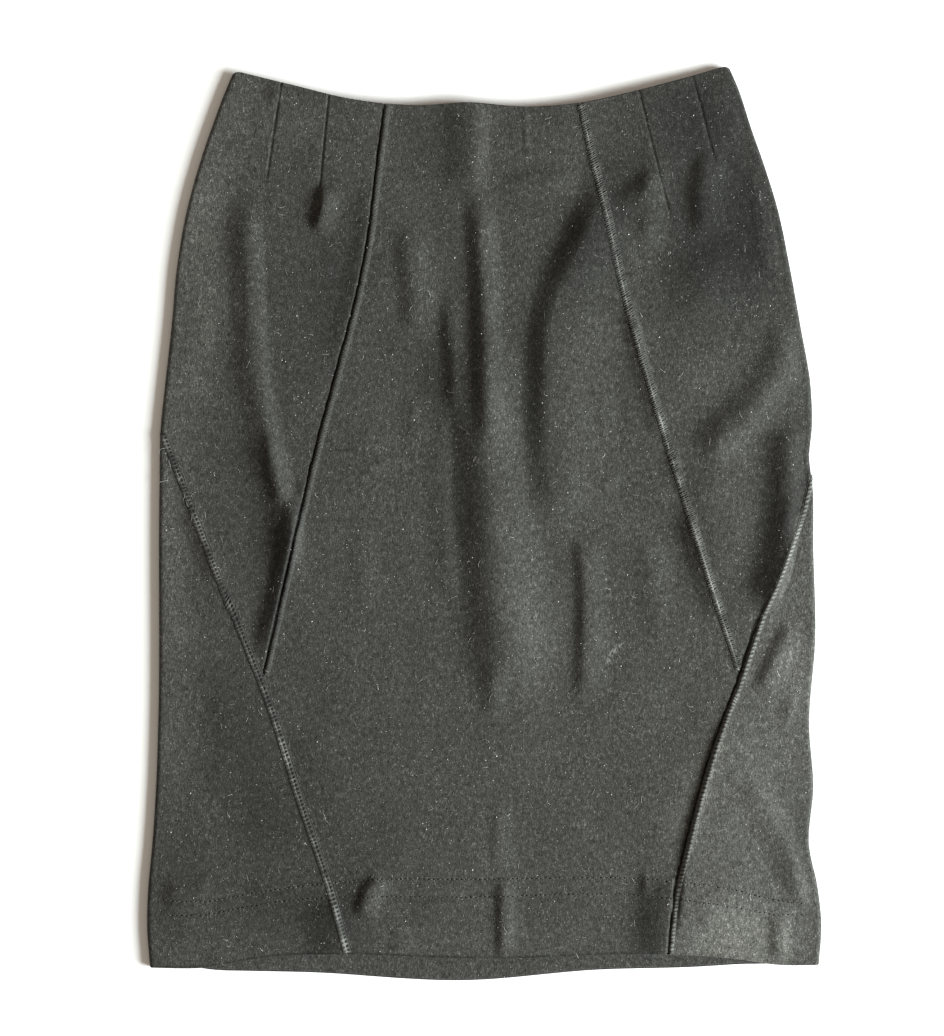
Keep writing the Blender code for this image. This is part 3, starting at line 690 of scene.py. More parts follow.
def grid_wall(name, material, outer, inner, bulge=(0.0, 0.0), attributes=None):
    """One closed wall between two grids of points. Its first and last row bulge out by an amount."""
    rows, columns = outer.shape[:2]
    count = rows * columns
    index = np.arange(count).reshape(rows, columns)
    quads = np.stack((index[:-1, :-1], index[:-1, 1:], index[1:, 1:], index[1:, :-1]), -1).reshape(-1, 4)
    rim = np.concatenate((index[0, :-1], index[:-1, -1], index[-1, :0:-1], index[:0:-1, 0]))
    middle = (outer.reshape(-1, 3)[rim] + inner.reshape(-1, 3)[rim]) / 2
    for amount, row, beside in ((bulge[0], 0, 1), (bulge[1], rows - 1, rows - 2)):
        out = outer[row] - outer[beside]
        out /= np.linalg.norm(out, axis=-1, keepdims=True)
        on_row = rim // columns == row
        middle[on_row] += amount * METRES * out[rim[on_row] % columns]
    ring = 2 * count + np.arange(len(rim))
    after = np.roll(rim, -1)
    ring_after = np.roll(ring, -1)
    faces = np.concatenate((
        quads,
        quads[:, ::-1] + count,
        np.stack((after, rim, ring, ring_after), -1),
        np.stack((ring_after, ring, rim + count, after + count), -1),
    ))
    points = np.concatenate((outer.reshape(-1, 3), inner.reshape(-1, 3), middle))
    if wall_volume(points, faces) < 0:
        faces = faces[:, ::-1]
    shades = {}
    for key, values in (attributes or {}).items():
        flat = values.ravel()
        shades[key] = np.concatenate((flat, flat, flat[rim]))
    return make_mesh(name, points, [faces], material, shades)


def tubes(name, material, paths, radii, sides=5, shades=None):
    """Many closed tubes as one mesh. Paths are (tube, point, 3) in metres and radii in millimetres."""
    paths = np.asarray(paths, float)
    number, length = paths.shape[:2]
    radii = np.broadcast_to(np.asarray(radii, float), (number, length)) * METRES
    along = np.gradient(paths, axis=1)
    along /= np.linalg.norm(along, axis=-1, keepdims=True) + 1e-12
    across = np.cross(along, (0.17, 0.11, 0.98))
    across /= np.linalg.norm(across, axis=-1, keepdims=True) + 1e-12
    up = np.cross(across, along)
    turn = np.arange(sides) * 2 * math.pi / sides
    ring = (
        np.cos(turn)[None, None, :, None] * across[:, :, None]
        + np.sin(turn)[None, None, :, None] * up[:, :, None]
    )
    points = paths[:, :, None] + ring * radii[:, :, None, None]
    index = np.arange(number * length * sides).reshape(number, length, sides)
    after = np.roll(index, -1, axis=2)
    walls = np.stack((index[:, :-1], after[:, :-1], after[:, 1:], index[:, 1:]), -1).reshape(-1, 4)
    caps = np.concatenate((index[:, 0, ::-1], index[:, -1]))
    attributes = None
    if shades is not None:
        attributes = {"shade": np.repeat(shades, length * sides)}
    return make_mesh(name, points.reshape(-1, 3), [walls, caps], material, attributes)


def spread_columns(knots, counts):
    """Places along each row: counts[k] steps between knot k and the next one."""
    parts = []
    for k, count in enumerate(counts):
        shares = np.arange(count) / count
        parts.append(knots[:, k:k + 1] + (knots[:, k + 1:k + 2] - knots[:, k:k + 1]) * shares)
    parts.append(knots[:, -1:])
    return np.concatenate(parts, axis=1)


def held_in(knots, least=0.02):
    """Knots kept in order and inside their row's ends."""
    last = knots.shape[1] - 1
    inner = knots[:, :1]
    outer = knots[:, -1:]
    order = np.arange(last + 1)
    knots = np.maximum(knots, inner + least * order)
    knots = np.minimum(knots, outer - least * (last - order))
    return np.maximum.accumulate(knots, axis=1)


def row_falls(step, first=0.0, last=1.0):
    """Even rows, with closer ones at both ends."""
    count = int(round((last - first) * LENGTH / step))
    even = np.linspace(first, last, count + 1)[1:-1]
    close = np.array([0.0, 0.35, 0.9, 1.6]) / LENGTH
    even = even[(even > first + 2.2 / LENGTH) & (even < last - 2.2 / LENGTH)]
    return np.concatenate((first + close, even, (last - close)[::-1]))


# --- Materials ------------------------------------------------------------------------------------

def new_material(name, colour, roughness, sheen=0.0, metallic=0.0, specular=0.5):
    """A material with its shader's even values set. Returns it, its node tree and its shader."""
    material = bpy.data.materials.new(name)
    material.use_nodes = True
    tree = material.node_tree
    shader = tree.nodes["Principled BSDF"]
    shader.inputs["Base Color"].default_value = (*colour, 1.0)
    shader.inputs["Roughness"].default_value = roughness
    shader.inputs["Metallic"].default_value = metallic
    shader.inputs["Specular IOR Level"].default_value = specular
    shader.inputs["Sheen Weight"].default_value = sheen
    shader.inputs["Sheen Roughness"].default_value = 0.6
    return material, tree, shader


def noise(tree, scale, stretch=(1, 1, 1), detail=2.0, roughness=0.6):
    """A noise with a scale in features for each metre, drawn out along an axis where stretch is less."""
    place = tree.nodes.new("ShaderNodeTexCoord")
    mapping = tree.nodes.new("ShaderNodeMapping")
    mapping.inputs["Scale"].default_value = stretch
    node = tree.nodes.new("ShaderNodeTexNoise")
    node.inputs["Scale"].default_value = scale
    node.inputs["Detail"].default_value = detail
    node.inputs["Roughness"].default_value = roughness
    tree.links.new(place.outputs["Object"], mapping.inputs["Vector"])
    tree.links.new(mapping.outputs["Vector"], node.inputs["Vector"])
    return node.outputs["Fac"]


def maths(tree, operation, first, second):
    """A Math node on two numbers or sockets."""
    node = tree.nodes.new("ShaderNodeMath")
    node.operation = operation
    for socket, value in zip(node.inputs, (first, second)):
        if isinstance(value, (int, float)):
            socket.default_value = value
        else:
            tree.links.new(value, socket)
    return node.outputs[0]


def ramp(tree, factor, stops):
    """A colour ramp with (position, colour) stops."""
    node = tree.nodes.new("ShaderNodeValToRGB")
    elements = node.color_ramp.elements
    elements[0].position, elements[1].position = stops[0][0], stops[-1][0]
    elements[0].color = (*stops[0][1], 1)
    elements[1].color = (*stops[-1][1], 1)
    for position, colour in stops[1:-1]:
        elements.new(position).color = (*colour, 1)
    tree.links.new(factor, node.inputs["Fac"])
    return node.outputs["Color"]


def mixed(tree, factor, first, second, kind="MIX"):
    node = tree.nodes.new("ShaderNodeMix")
    node.data_type = "RGBA"
    node.blend_type = kind
    if isinstance(factor, (int, float)):
        node.inputs["Factor"].default_value = factor
    else:
        tree.links.new(factor, node.inputs["Factor"])
    for socket, value in ((node.inputs["A"], first), (node.inputs["B"], second)):
        if isinstance(value, tuple):
            socket.default_value = (*value, 1)
        else:
            tree.links.new(value, socket)
    return node.outputs["Result"]


def bumped(tree, shader, height, strength, distance):
    node = tree.nodes.new("ShaderNodeBump")
    node.inputs["Strength"].default_value = strength
    node.inputs["Distance"].default_value = distance
    tree.links.new(height, node.inputs["Height"])
    tree.links.new(node.outputs["Normal"], shader.inputs["Normal"])


def attribute(tree, name):
    node = tree.nodes.new("ShaderNodeAttribute")
    node.attribute_name = name
    return node.outputs["Fac"]


def brushed_cloth():
    """Charcoal brushed knit: dark mottle, short light fibres lying mostly up and down, and white flecks."""
    material, tree, shader = new_material("brushed_charcoal_cloth", (0.075, 0.075, 0.070), 0.95, 0.03, 0.0, 0.15)
    grain = noise(tree, 1050, (1, 0.8, 1), 3.0, 0.7)
    fibres = noise(tree, 1500, (1, 0.24, 1), 2.0)
    clumps = noise(tree, 330, (1, 0.7, 1), 3.0)
    patches = noise(tree, 26, (1, 0.6, 1), 3.0)
    pile = maths(tree, "ADD", maths(tree, "MULTIPLY", grain, 0.45), maths(tree, "MULTIPLY", fibres, 0.30))
    pile = maths(tree, "ADD", pile, maths(tree, "MULTIPLY", clumps, 0.25))
    colour = ramp(tree, pile, (
        (0.37, (0.0105, 0.0105, 0.009)), (0.46, (0.0300, 0.0300, 0.0268)), (0.55, (0.0535, 0.0535, 0.0485)),
        (0.67, (0.158, 0.159, 0.147)),
    ))
    colour = mixed(tree, 1.0, colour, ramp(tree, patches, ((0.3, (0.84, 0.83, 0.82)), (0.7, (1, 1, 1)))), "MULTIPLY")
    flecks = maths(tree, "GREATER_THAN", noise(tree, 620, (1, 1, 1), 1.0), 0.765)
    # The attribute's painted light and shade, with random mottle, pales or darkens the colour
    shading_and_mottle = maths(tree, "ADD", attribute(tree, "nap"), 1.0)
    colour = mixed(tree, 1.0, colour, shading_and_mottle, "MULTIPLY")
    colour = mixed(tree, flecks, colour, (0.23, 0.235, 0.22))
    wisps = ramp(tree, fibres, ((0.44, (0, 0, 0)), (0.60, (1, 1, 1))))
    scuff = maths(tree, "MULTIPLY", attribute(tree, "scuff"), wisps)
    colour = mixed(tree, scuff, colour, (0.30, 0.305, 0.285))
    tree.links.new(colour, shader.inputs["Base Color"])
    bumped(tree, shader, pile, 0.65, 0.0009)
    return material


def wool_thread(name, dark, light, roughness=0.9):
    """Matt spun thread. Each strand has its own shade between the two colours."""
    material, tree, shader = new_material(name, light, roughness, 0.1, 0.0, 0.2)
    twist = noise(tree, 2600, (1, 0.6, 1), 2.0)
    factor = maths(tree, "ADD", maths(tree, "MULTIPLY", twist, 0.4), maths(tree, "MULTIPLY", attribute(tree, "shade"), 0.7))
    tree.links.new(ramp(tree, factor, ((0.1, dark), (0.95, light))), shader.inputs["Base Color"])
    bumped(tree, shader, twist, 0.4, 0.0002)
    return material


def ladder_cloth():
    """The raised seams' looped thread: paler thread, with painted light, on top of each rung, and painted shade, near
    black, in the slots between them.
    """
    material, tree, shader = new_material("seam_ladder_thread", (0.12, 0.12, 0.11), 0.92, 0.1, 0.0, 0.2)
    hair = noise(tree, 1900, (1, 1, 1), 3.0)
    factor = maths(tree, "ADD", attribute(tree, "shade"), maths(tree, "MULTIPLY", maths(tree, "SUBTRACT", hair, 0.5), 0.7))
    colour = ramp(tree, factor, (
        (0.12, (0.004, 0.004, 0.003)), (0.5, (0.021, 0.021, 0.018)), (0.72, (0.042, 0.042, 0.038)),
        (1.0, (0.165, 0.166, 0.152)),
    ))
    tree.links.new(colour, shader.inputs["Base Color"])
    bumped(tree, shader, hair, 0.5, 0.0004)
    return material


def twill_tape():
    """The zip's tape: fine herringbone ribs in matt nylon."""
    material, tree, shader = new_material("zip_tape_nylon", (0.030, 0.030, 0.030), 0.8, 0.05, 0.0, 0.3)
    place = tree.nodes.new("ShaderNodeTexCoord")
    ribs = tree.nodes.new("ShaderNodeTexWave")
    ribs.bands_direction = "DIAGONAL"
    ribs.inputs["Scale"].default_value = 420
    ribs.inputs["Distortion"].default_value = 0.6
    tree.links.new(place.outputs["Object"], ribs.inputs["Vector"])
    colour = ramp(tree, ribs.outputs["Fac"], ((0.1, (0.018, 0.018, 0.018)), (0.9, (0.046, 0.046, 0.046))))
    tree.links.new(colour, shader.inputs["Base Color"])
    bumped(tree, shader, ribs.outputs["Fac"], 0.5, 0.0003)
    return material


def lacquered_metal():
    """The slider and pull: dark lacquer over metal, with fine wear that shows brighter."""
    material, tree, shader = new_material("dark_lacquered_metal", (0.05, 0.05, 0.052), 0.33, 0.0, 1.0)
    wear = noise(tree, 520, (1, 1, 1), 4.0, 0.7)
    colour = ramp(tree, wear, ((0.45, (0.042, 0.042, 0.045)), (0.62, (0.075, 0.075, 0.078)), (0.78, (0.24, 0.23, 0.22))))
    tree.links.new(colour, shader.inputs["Base Color"])
    tree.links.new(maths(tree, "ADD", maths(tree, "MULTIPLY", wear, 0.3), 0.2), shader.inputs["Roughness"])
    bumped(tree, shader, wear, 0.15, 0.0001)
    return material


# --- The cloth panels -----------------------------------------------------------------------------

SCUFF = ((97, 433, 8.5, 2.0, -0.80), (92, 441, 2.6, 2.0, 0.0))  # x, drop, half length, half width, turn


def scuffed(x, drop):
    """How pale the two small scuffs are at each place."""
    pale = np.zeros(np.shape(x))
    for middle_x, middle_drop, half_length, half_width, turn in SCUFF:
        along = (x - middle_x) * math.cos(turn) + (drop - middle_drop) * math.sin(turn)
        across = (drop - middle_drop) * math.cos(turn) - (x - middle_x) * math.sin(turn)
        pale += 0.8 * soft(1.3 - np.hypot(along / half_length, across / half_width))
    return np.clip(pale, 0, 1)


def painted_shading_and_mottle_tone(x, drop, panel_tone=0.0):
    """How much paler than the rest each place is painted: the patches' painted light and shade, a whole panel's painted
    light, painted shade down in the deep seams' grooves and along the front's hem edge, and random mottle. It is below
    0 where it is darker.
    """
    tone = np.full(np.shape(x), panel_tone)
    for patch in PAINTED_SHADING_PATCHES:
        turn = math.radians(patch.turn)
        along = (x - patch.x) * math.sin(turn) + (drop - patch.drop) * math.cos(turn)
        across = (x - patch.x) * math.cos(turn) - (drop - patch.drop) * math.sin(turn)
        tone += patch.tone * soft(1 - np.hypot(along / patch.half_length, across / patch.half_width))
    tone += 0.11 * read_field(nap_lumps, x, drop)
    # Painted shade down in the two deep seams' grooves
    tone += GROOVE_SHADE * deep_groove(x, drop)
    # Painted shade along the front's hem edge, fading out on the right
    edge = soft(1 - (front_hem(x) - drop) / 2.4) * soft((150 - x) / 60)
    tone += EDGE_SHADE * edge * (0.6 + 0.4 * read_field(nap_lumps, x, drop))
    return np.exp(tone) - 1


def below_hem_painted_shadow(x, drop):
    """Painted shadow on the back where it shows just below the front's hem edge, stronger in some places, and the back
    a little darker all over.
    """
    near = soft(1 - (drop - front_hem(x)) / 9) * soft((drop - front_hem(x) + 12) / 8)
    return -0.45 * near * np.clip(0.6 + 0.7 * read_field(nap_lumps, x, drop), 0, 1) - 0.12


def centre_places(falls, cell):
    """The centre panel's columns: its ends change from the upper seams to the lower at the tips."""
    ends = []
    for side in SIDES:
        upper = upper_seams[side.sign](falls)
        lower = lower_seams[side.sign](falls)
        ends.append(side.sign * (np.where(falls <= tips[side.sign], upper, lower) - GAP / 2))
    left, right = ends
    knots = np.stack([left, left + 2, left + 6.5, left + 11, right - 11, right - 6.5, right - 2, right], 1)
    middle = int(330 / cell)
    return spread_columns(knots, (4, 6, 3, middle, 3, 6, 4))


def upper_side_places(side, falls):
    inner = upper_seams[side.sign](falls) + GAP / 2
    start = fold_start(side, side_drop(side, LENGTH, falls))
    outer = np.minimum(side_seam(side, falls), lower_seams[side.sign](falls) - GAP / 2)
    lines = []
    for dart in side.darts:
        share = np.clip((falls * 0.97 * LENGTH + 12 - dart.start.drop) / (dart.end.drop - dart.start.drop), 0, 1.1)
        line = dart.start.out + (dart.end.out - dart.start.out) * share
        held = (dart.end.out - inner) / np.maximum(start - inner, 1)
        lines.append(np.where(share < 1.1, line, inner + held * (start - inner)))
    near, far = lines
    knots = np.stack([
        inner, inner + 2, inner + 6.5, near - 3, near + 3, far - 3, far + 3,
        start - 2, start + roll(), start + roll() + UNDER,
    ], 1)
    knots[:, -1] = outer
    return spread_columns(held_in(knots), (4, 5, 12, 8, 10, 8, 9, 12, 4))


def lower_side_places(side, falls):
    inner = lower_seams[side.sign](falls) + GAP / 2
    outer = side_seam(side, falls)
    start = fold_start(side, side_drop(side, LENGTH, falls))
    knots = np.stack([inner, inner + 2, inner + 6.5, start - 2, start + roll(), outer], 1)
    return spread_columns(held_in(knots), (4, 5, 54, 12, 4))


def front_pieces(falls, cloth):
    """The centre panel and the four side panels. Returns them by name."""
    x = centre_places(falls, ROW_STEP)
    fall = np.broadcast_to(falls[:, None], x.shape)
    drop = front_drop(x, fall)
    made = {
        "front_centre_panel": grid_wall(
            "front_centre_cloth", cloth, on_top(x, drop, 0.0), on_top(x, drop, CLOTH),
            bulge=(0.5, 0.5), attributes={"scuff": scuffed(x, drop), "nap": painted_shading_and_mottle_tone(x, drop)},
        )
    }
    for side in SIDES:
        rows = {
            "upper": falls[falls <= tips[side.sign]],
            "lower": falls[falls >= meet_fall(side)],
        }
        places = {"upper": upper_side_places, "lower": lower_side_places}
        for level, panel_falls in rows.items():
            across = places[level](side, panel_falls)
            fall = np.broadcast_to(panel_falls[:, None], across.shape)
            node = f"front_{level}_side_panel_{side.name}"
            tone = painted_shading_and_mottle_tone(side.sign * across, side_drop(side, across, fall), PANEL_PAINTED_LIGHT.get(node, 0.0))
            made[node] = grid_wall(
                f"front_{level}_side_cloth_{side.name}", cloth,
                side_point(side, across, fall, 0.0), side_point(side, across, fall, CLOTH),
                bulge=(0.5, 0.0) if level == "upper" else (0.0, 0.5), attributes={"nap": tone},
            )
    return made


def back_pieces(falls, cloth):
    """The two back panels, which lie on the surface with their outer face down."""
    made = {}
    for side in SIDES:
        seam = centre_back(falls)
        outer = side.sign * (fold_start(side, side_drop(side, LENGTH, falls)) - UNDER - GAP)
        near = seam + side.sign * GAP / 2
        knots = np.stack([near, near + side.sign * 3, near + side.sign * 40, outer], 1)
        x = spread_columns(knots, (5, 14, 46))
        fall = np.broadcast_to(falls[:, None], x.shape)
        made[f"back_panel_{side.name}"] = grid_wall(
            f"back_cloth_{side.name}", cloth, back_point(x, fall, 0.0), back_point(x, fall, CLOTH),
            bulge=(0.5, 0.5), attributes={"nap": below_hem_painted_shadow(x, back_drop(x, fall))},
        )
    return made


def turn_ups(cloth):
    """The cloth turned up inside the hem, on the inner face of the front and of the back."""
    falls = row_falls(3.0, 1 - HEM_DEPTH / LENGTH, 1 - 1.2 / LENGTH)
    starts = [fold_start(side, side_drop(side, LENGTH, falls)) for side in SIDES]
    knots = np.stack([-(starts[0] - 6), starts[1] - 6], 1)
    x = spread_columns(knots, (150,))
    fall = np.broadcast_to(falls[:, None], x.shape)
    drop = front_drop(x, fall)
    depth = CLOTH + GAP
    front = grid_wall(
        "front_hem_turned_up", cloth, on_top(x, drop, depth, False), on_top(x, drop, depth + CLOTH, False),
        bulge=(0.3, 0.4),
    )
    knots = np.stack([-(starts[0] - UNDER - 10), starts[1] - UNDER - 10], 1)
    x = spread_columns(knots, (150,))
    back = grid_wall(
        "back_hem_turned_up", cloth, back_point(x, fall, depth), back_point(x, fall, depth + CLOTH),
        bulge=(0.3, 0.4),
    )
    return {"front_hem_turn_up": front, "back_hem_turn_up": back}


# --- The raised seams -----------------------------------------------------------------------------

LIFT = 0.12             # the band's edges, above the cloth


def comes_on_top(side):
    """The fall at which a lower seam has come up round the fold, on to the front."""
    def risen(fall):
        return fold_start(side, side_drop(side, LENGTH, fall)) + FOLD_RADIUS / 2 - lower_seams[side.sign](fall)

    return solve(risen, 0.1, 0.6)


def seam_band_line(side, is_upper, step=0.5):
    """The falls along a seam at even lengths, and the length run at each."""
    seam = (upper_seams if is_upper else lower_seams)[side.sign]
    first, last = (0.002, tips[side.sign]) if is_upper else (comes_on_top(side), 0.9985)
    falls = np.linspace(first, last, 1500)
    across = seam(falls)
    points = side_point(side, across, falls, 0.0)
    run = np.concatenate(([0.0], np.cumsum(np.linalg.norm(np.diff(points, axis=0), axis=1)))) / METRES
    even = np.arange(0, run[-1], step)
    return np.interp(even, run, falls), even


def uneven(run, seed, cell=9.0, amount=1.0):
    """A slow random wobble along a length."""
    random = np.random.default_rng(seed)
    knots = random.uniform(-1, 1, int(run[-1] / cell) + 3)
    place = run / cell
    i = place.astype(int)
    t = soft(place - i)
    return amount * (knots[i] * (1 - t) + knots[i + 1] * t)


RUNG_PITCH = 3.1
BEAD_PITCH = 3.4


def wave(along, pitch):
    return 0.5 + 0.5 * np.cos(2 * math.pi * along / pitch)


def rung_pattern(kind, along, across):
    """How far the thread stands up at each place, from 0 in a slot to 1. across runs from -1 to 1."""
    if kind == "two_columns":
        place = along + 1.2 * across + np.where(across > 0, RUNG_PITCH / 2, 0)
        slots = 0.55 * wave(place, RUNG_PITCH) ** 2 + 0.45 * wave(place, RUNG_PITCH / 2)
        return 1 - slots * soft((0.46 - np.abs(np.abs(across) - 0.52)) / 0.24)
    if kind == "one_column":
        slots = wave(along + 1.0 * across, RUNG_PITCH) ** 1.4
        column = soft((0.42 - np.abs(across - 0.35)) / 0.24) + 0.4 * soft((0.36 - np.abs(across + 0.45)) / 0.2)
        return 1 - slots * column
    if kind == "curled":
        return 0.2 + 0.8 * wave(along + 2.4 * across, RUNG_PITCH)
    return wave(along + 0.3 * across, BEAD_PITCH) ** 0.8


# Each seam's pattern, sizes and shades. The seams are sewn alike, so the differences between their low and high shades,
# and between their loops' shades, are painted light and shade.
LADDERS = {
    ("left", True): Ladder("curled", 2.1, 0.32, 0.42, 0.78, (0.10, 0.62), 1.5, 0.3, 7, 0.55),
    ("left", False): Ladder("one_column", 2.9, 0.50, -0.25, 0.86, (0.15, 0.55), 3.1, -0.35, 13, 0.55),
    ("right", True): Ladder("two_columns", 3.4, 0.60, -0.25, 0.98, (0.45, 1.10), 1.55, -0.40, 15, 0.40),
    ("right", False): Ladder("beaded", 1.8, 0.65, 0.50, 0.95, (0.35, 1.00), 1.7, 0.35, 9, 0.55),
}


def seam_places(side, is_upper, falls, right):
    """Distances out of the places at a distance right of the seam's own middle."""
    seam = (upper_seams if is_upper else lower_seams)[side.sign]
    middle = seam_kind(side, is_upper).ridge_at
    return seam(falls)[:, None] + side.sign * (middle + right)


def seam_band(side, is_upper, material, seed):
    """A strip with the seam's rungs in relief."""
    ladder = LADDERS[side.name, is_upper]
    falls, run = seam_band_line(side, is_upper, ladder.step)
    share = np.linspace(-1, 1, ladder.columns)[None, :]
    half_here = ladder.half * (1 + uneven(run, seed, 14, 0.10))[:, None]
    along = (run + uneven(run, seed + 1, 8, 1.1))[:, None]
    rungs = rung_pattern(ladder.kind, along, share)
    arch = np.sqrt(np.clip(1 - share**2, 0, 1))
    patchy = (1 + uneven(run, seed + 2, 6, 0.22))[:, None]
    relief = ladder.height * arch * (0.35 + 0.65 * rungs * patchy)
    across = seam_places(side, is_upper, falls, share * half_here)
    fall = np.broadcast_to(falls[:, None], across.shape)
    top = side_point(side, across, fall, -(LIFT + relief))
    under = side_point(side, across, fall, np.full(across.shape, 0.35))
    # The shade is painted light on each rung's top and along the band's crown, and painted shade in the slots between
    # rungs
    shade = ladder.low + (ladder.high - ladder.low) * rungs * (0.5 + 0.5 * arch) * patchy
    level = "upper" if is_upper else "lower"
    return grid_wall(
        f"front_{level}_seam_ladder_{side.name}", material, top, under, attributes={"shade": shade}
    )


def seam_loops(side, is_upper, material, seed):
    """Loose curly loops of thread over the rungs, and the odd bright knot."""
    ladder = LADDERS[side.name, is_upper]
    half = ladder.half
    random = np.random.default_rng(seed)
    falls, run = seam_band_line(side, is_upper)
    count = int(run[-1] / ladder.pitch)
    t = np.linspace(-1, 1, 7)
    middle = (np.arange(count) + 0.5) * ladder.pitch
    middle = middle - np.interp(middle, run, uneven(run, seed + 1, 8, 1.1)) + random.uniform(-0.3, 0.3, count)
    width = half * random.uniform(0.6, 1.05, count)[:, None]
    sideways = width * t + random.uniform(-0.15, 0.15, (count, 1)) * half
    length = middle[:, None] + ladder.slant * width * t + random.normal(0, 0.12, (count, 7))
    length = np.clip(length, 0, run[-1] - 0.1)
    places = np.interp(length, run, falls)
    lift = LIFT + ladder.height * np.sqrt(1 - (0.97 * t) ** 2) + random.uniform(0.0, 0.28, (count, 1))
    across = (upper_seams if is_upper else lower_seams)[side.sign](places)
    across = across + side.sign * (seam_kind(side, is_upper).ridge_at + sideways)
    paths = side_point(side, across, places, -lift)
    radii = random.uniform(0.13, 0.24, (count, 1)) * np.array([0.5, 0.9, 1, 1, 1, 0.9, 0.5])
    level = "upper" if is_upper else "lower"
    return tubes(
        f"front_{level}_seam_loops_{side.name}", material, paths, radii, 5, random.uniform(*ladder.loops, count)
    )


def needle_line(side, is_upper, right, material, seed):
    """A row of tiny stitches beside a seam."""
    random = np.random.default_rng(seed)
    falls, run = seam_band_line(side, is_upper)
    pitch = 2.4
    count = int(run[-1] / pitch) - 1
    start = (np.arange(count) + 0.2) * pitch
    length = start[:, None] + np.linspace(0, 1.35, 4)
    places = np.interp(length, run, falls)
    across = (upper_seams if is_upper else lower_seams)[side.sign](places)
    across = across + side.sign * (right + random.normal(0, 0.08, (count, 1)))
    paths = side_point(side, across, places, -np.array([0.02, 0.16, 0.16, 0.02]))
    level = "upper" if is_upper else "lower"
    return tubes(
        f"front_{level}_needle_line_{side.name}", material, paths, 0.16, 4, random.uniform(0.1, 0.9, count)
    )


# --- Hem stitches, fibres and lint ----------------------------------------------------------------

def hem_stitches(above, name, dash_length, radius, thread, needle_shade, seed):
    """One row round the front of the hem: short light stitches, and between them a small dark lump standing on the
    cloth, painted shade where the needle went through.
    """
    random = np.random.default_rng(seed)
    x = np.arange(-238.0, 236.0, STITCH_PITCH) + 0.2
    x = x + random.normal(0, 0.18, len(x))
    along = x[:, None] + np.linspace(0.9, 0.9 + dash_length, 5)
    wobble = random.normal(0, 0.22, (len(x), 1))
    drop = front_hem(along) - above(along) + wobble
    lift = np.array([-0.1, 0.22, 0.32, 0.22, -0.1])
    stitches = tubes(
        f"hem_{name}_stitches", thread, on_top(along, drop, -lift), radius, 5, random.uniform(0, 1, len(x))
    )
    # The dark lumps are painted shade where the needle went through the cloth
    turn = np.linspace(0, 2 * math.pi, 9)[:-1]
    size = random.uniform(0.36, 0.72, (len(x), 1))
    rim_x = x[:, None] + size * np.cos(turn)
    rim_drop = front_hem(x)[:, None] - above(x)[:, None] + wobble + 0.9 * size * np.sin(turn)
    rim = on_top(rim_x, rim_drop, -0.10)
    floor = on_top(x[:, None], rim_drop.mean(1)[:, None], 0.5)
    top = on_top(x[:, None], rim_drop.mean(1)[:, None], -0.16)
    points = np.concatenate((rim, floor, top), axis=1)
    base = np.arange(len(x))[:, None] * 10
    edge = base + np.arange(8)
    after = base + np.roll(np.arange(8), -1)
    upper = np.stack((edge, np.broadcast_to(base + 9, edge.shape), after), -1).reshape(-1, 3)
    lower = np.stack((after, np.broadcast_to(base + 8, edge.shape), edge), -1).reshape(-1, 3)
    needle_shade_lumps = make_mesh(f"hem_{name}_needle_holes", points.reshape(-1, 3), [upper[:, ::-1], lower[:, ::-1]], needle_shade)
    return stitches, needle_shade_lumps


def on_front(random, count):
    """Random places on the front, away from its edges."""
    x = random.uniform(-246, 246, count * 2)
    fall = random.uniform(0.004, 0.996, count * 2)
    drop = front_drop(x, fall)
    edge = np.minimum(x + fold_start(LEFT, drop), fold_start(RIGHT, drop) - x)
    inside = np.nonzero(edge > 1.0)[0][:count]
    return x[inside], drop[inside]


def loose_fibres(name, count, length, radius, material, seed):
    """Short curly fibres that stand a little off the cloth's pile, most of them lying up and down the skirt."""
    random = np.random.default_rng(seed)
    x, drop = on_front(random, count)
    count = len(x)
    heading = random.normal(math.pi / 2, 0.55, count) + np.where(random.random(count) < 0.25, 1.3, 0.0)
    bend = random.normal(0, 1.2, count)
    reach = random.uniform(*length, count)
    t = np.linspace(0, 1, 5)
    angle = heading[:, None] + bend[:, None] * t
    step = reach[:, None] / 4
    path_x = x[:, None] + np.cumsum(np.cos(angle) * step, axis=1)
    path_drop = drop[:, None] + np.cumsum(np.sin(angle) * step, axis=1)
    lift = random.uniform(0.05, 0.45, count)[:, None] * np.sin(math.pi * (0.1 + 0.8 * t))
    paths = on_top(path_x, path_drop, -lift)
    radii = radius * random.uniform(0.6, 1.3, (count, 1)) * np.array([0.5, 1, 1, 1, 0.4])
    return tubes(name, material, paths, radii, 3, random.beta(1.6, 2.2, count))


# Frayed ends of the lower left seam's thread: where each starts, which way it heads, and its length
FRAYED = (
    (-236, 284, 200, 6.5), (-234, 291, 80, 5.5), (-229, 299, 70, 6.0), (-233, 307, 170, 8.0),
    (-228, 305, 20, 4.0), (-223, 316, 60, 6.0), (-220, 322, 110, 5.0), (-217, 331, 70, 5.5),
    (-163, 446, 80, 4.5), (-126, 200, 190, 4.0),
)


def frayed_ends(material, seed):
    """Curled loose ends of thread beside the lower left seam."""
    random = np.random.default_rng(seed)
    t = np.linspace(0, 1, 7)
    start = np.array(FRAYED)
    angle = np.radians(start[:, 2:3]) + random.uniform(-2.2, 2.2, (len(start), 1)) * t
    step = start[:, 3:4] / 6
    path_x = start[:, :1] + np.cumsum(np.cos(angle) * step, axis=1)
    path_drop = start[:, 1:2] + np.cumsum(np.sin(angle) * step, axis=1)
    paths = on_top(path_x, path_drop, -0.15 - 0.5 * np.sin(math.pi * t))
    return tubes("frayed_thread_ends", material, paths, 0.17, 5, random.uniform(0.3, 0.7, len(start)))


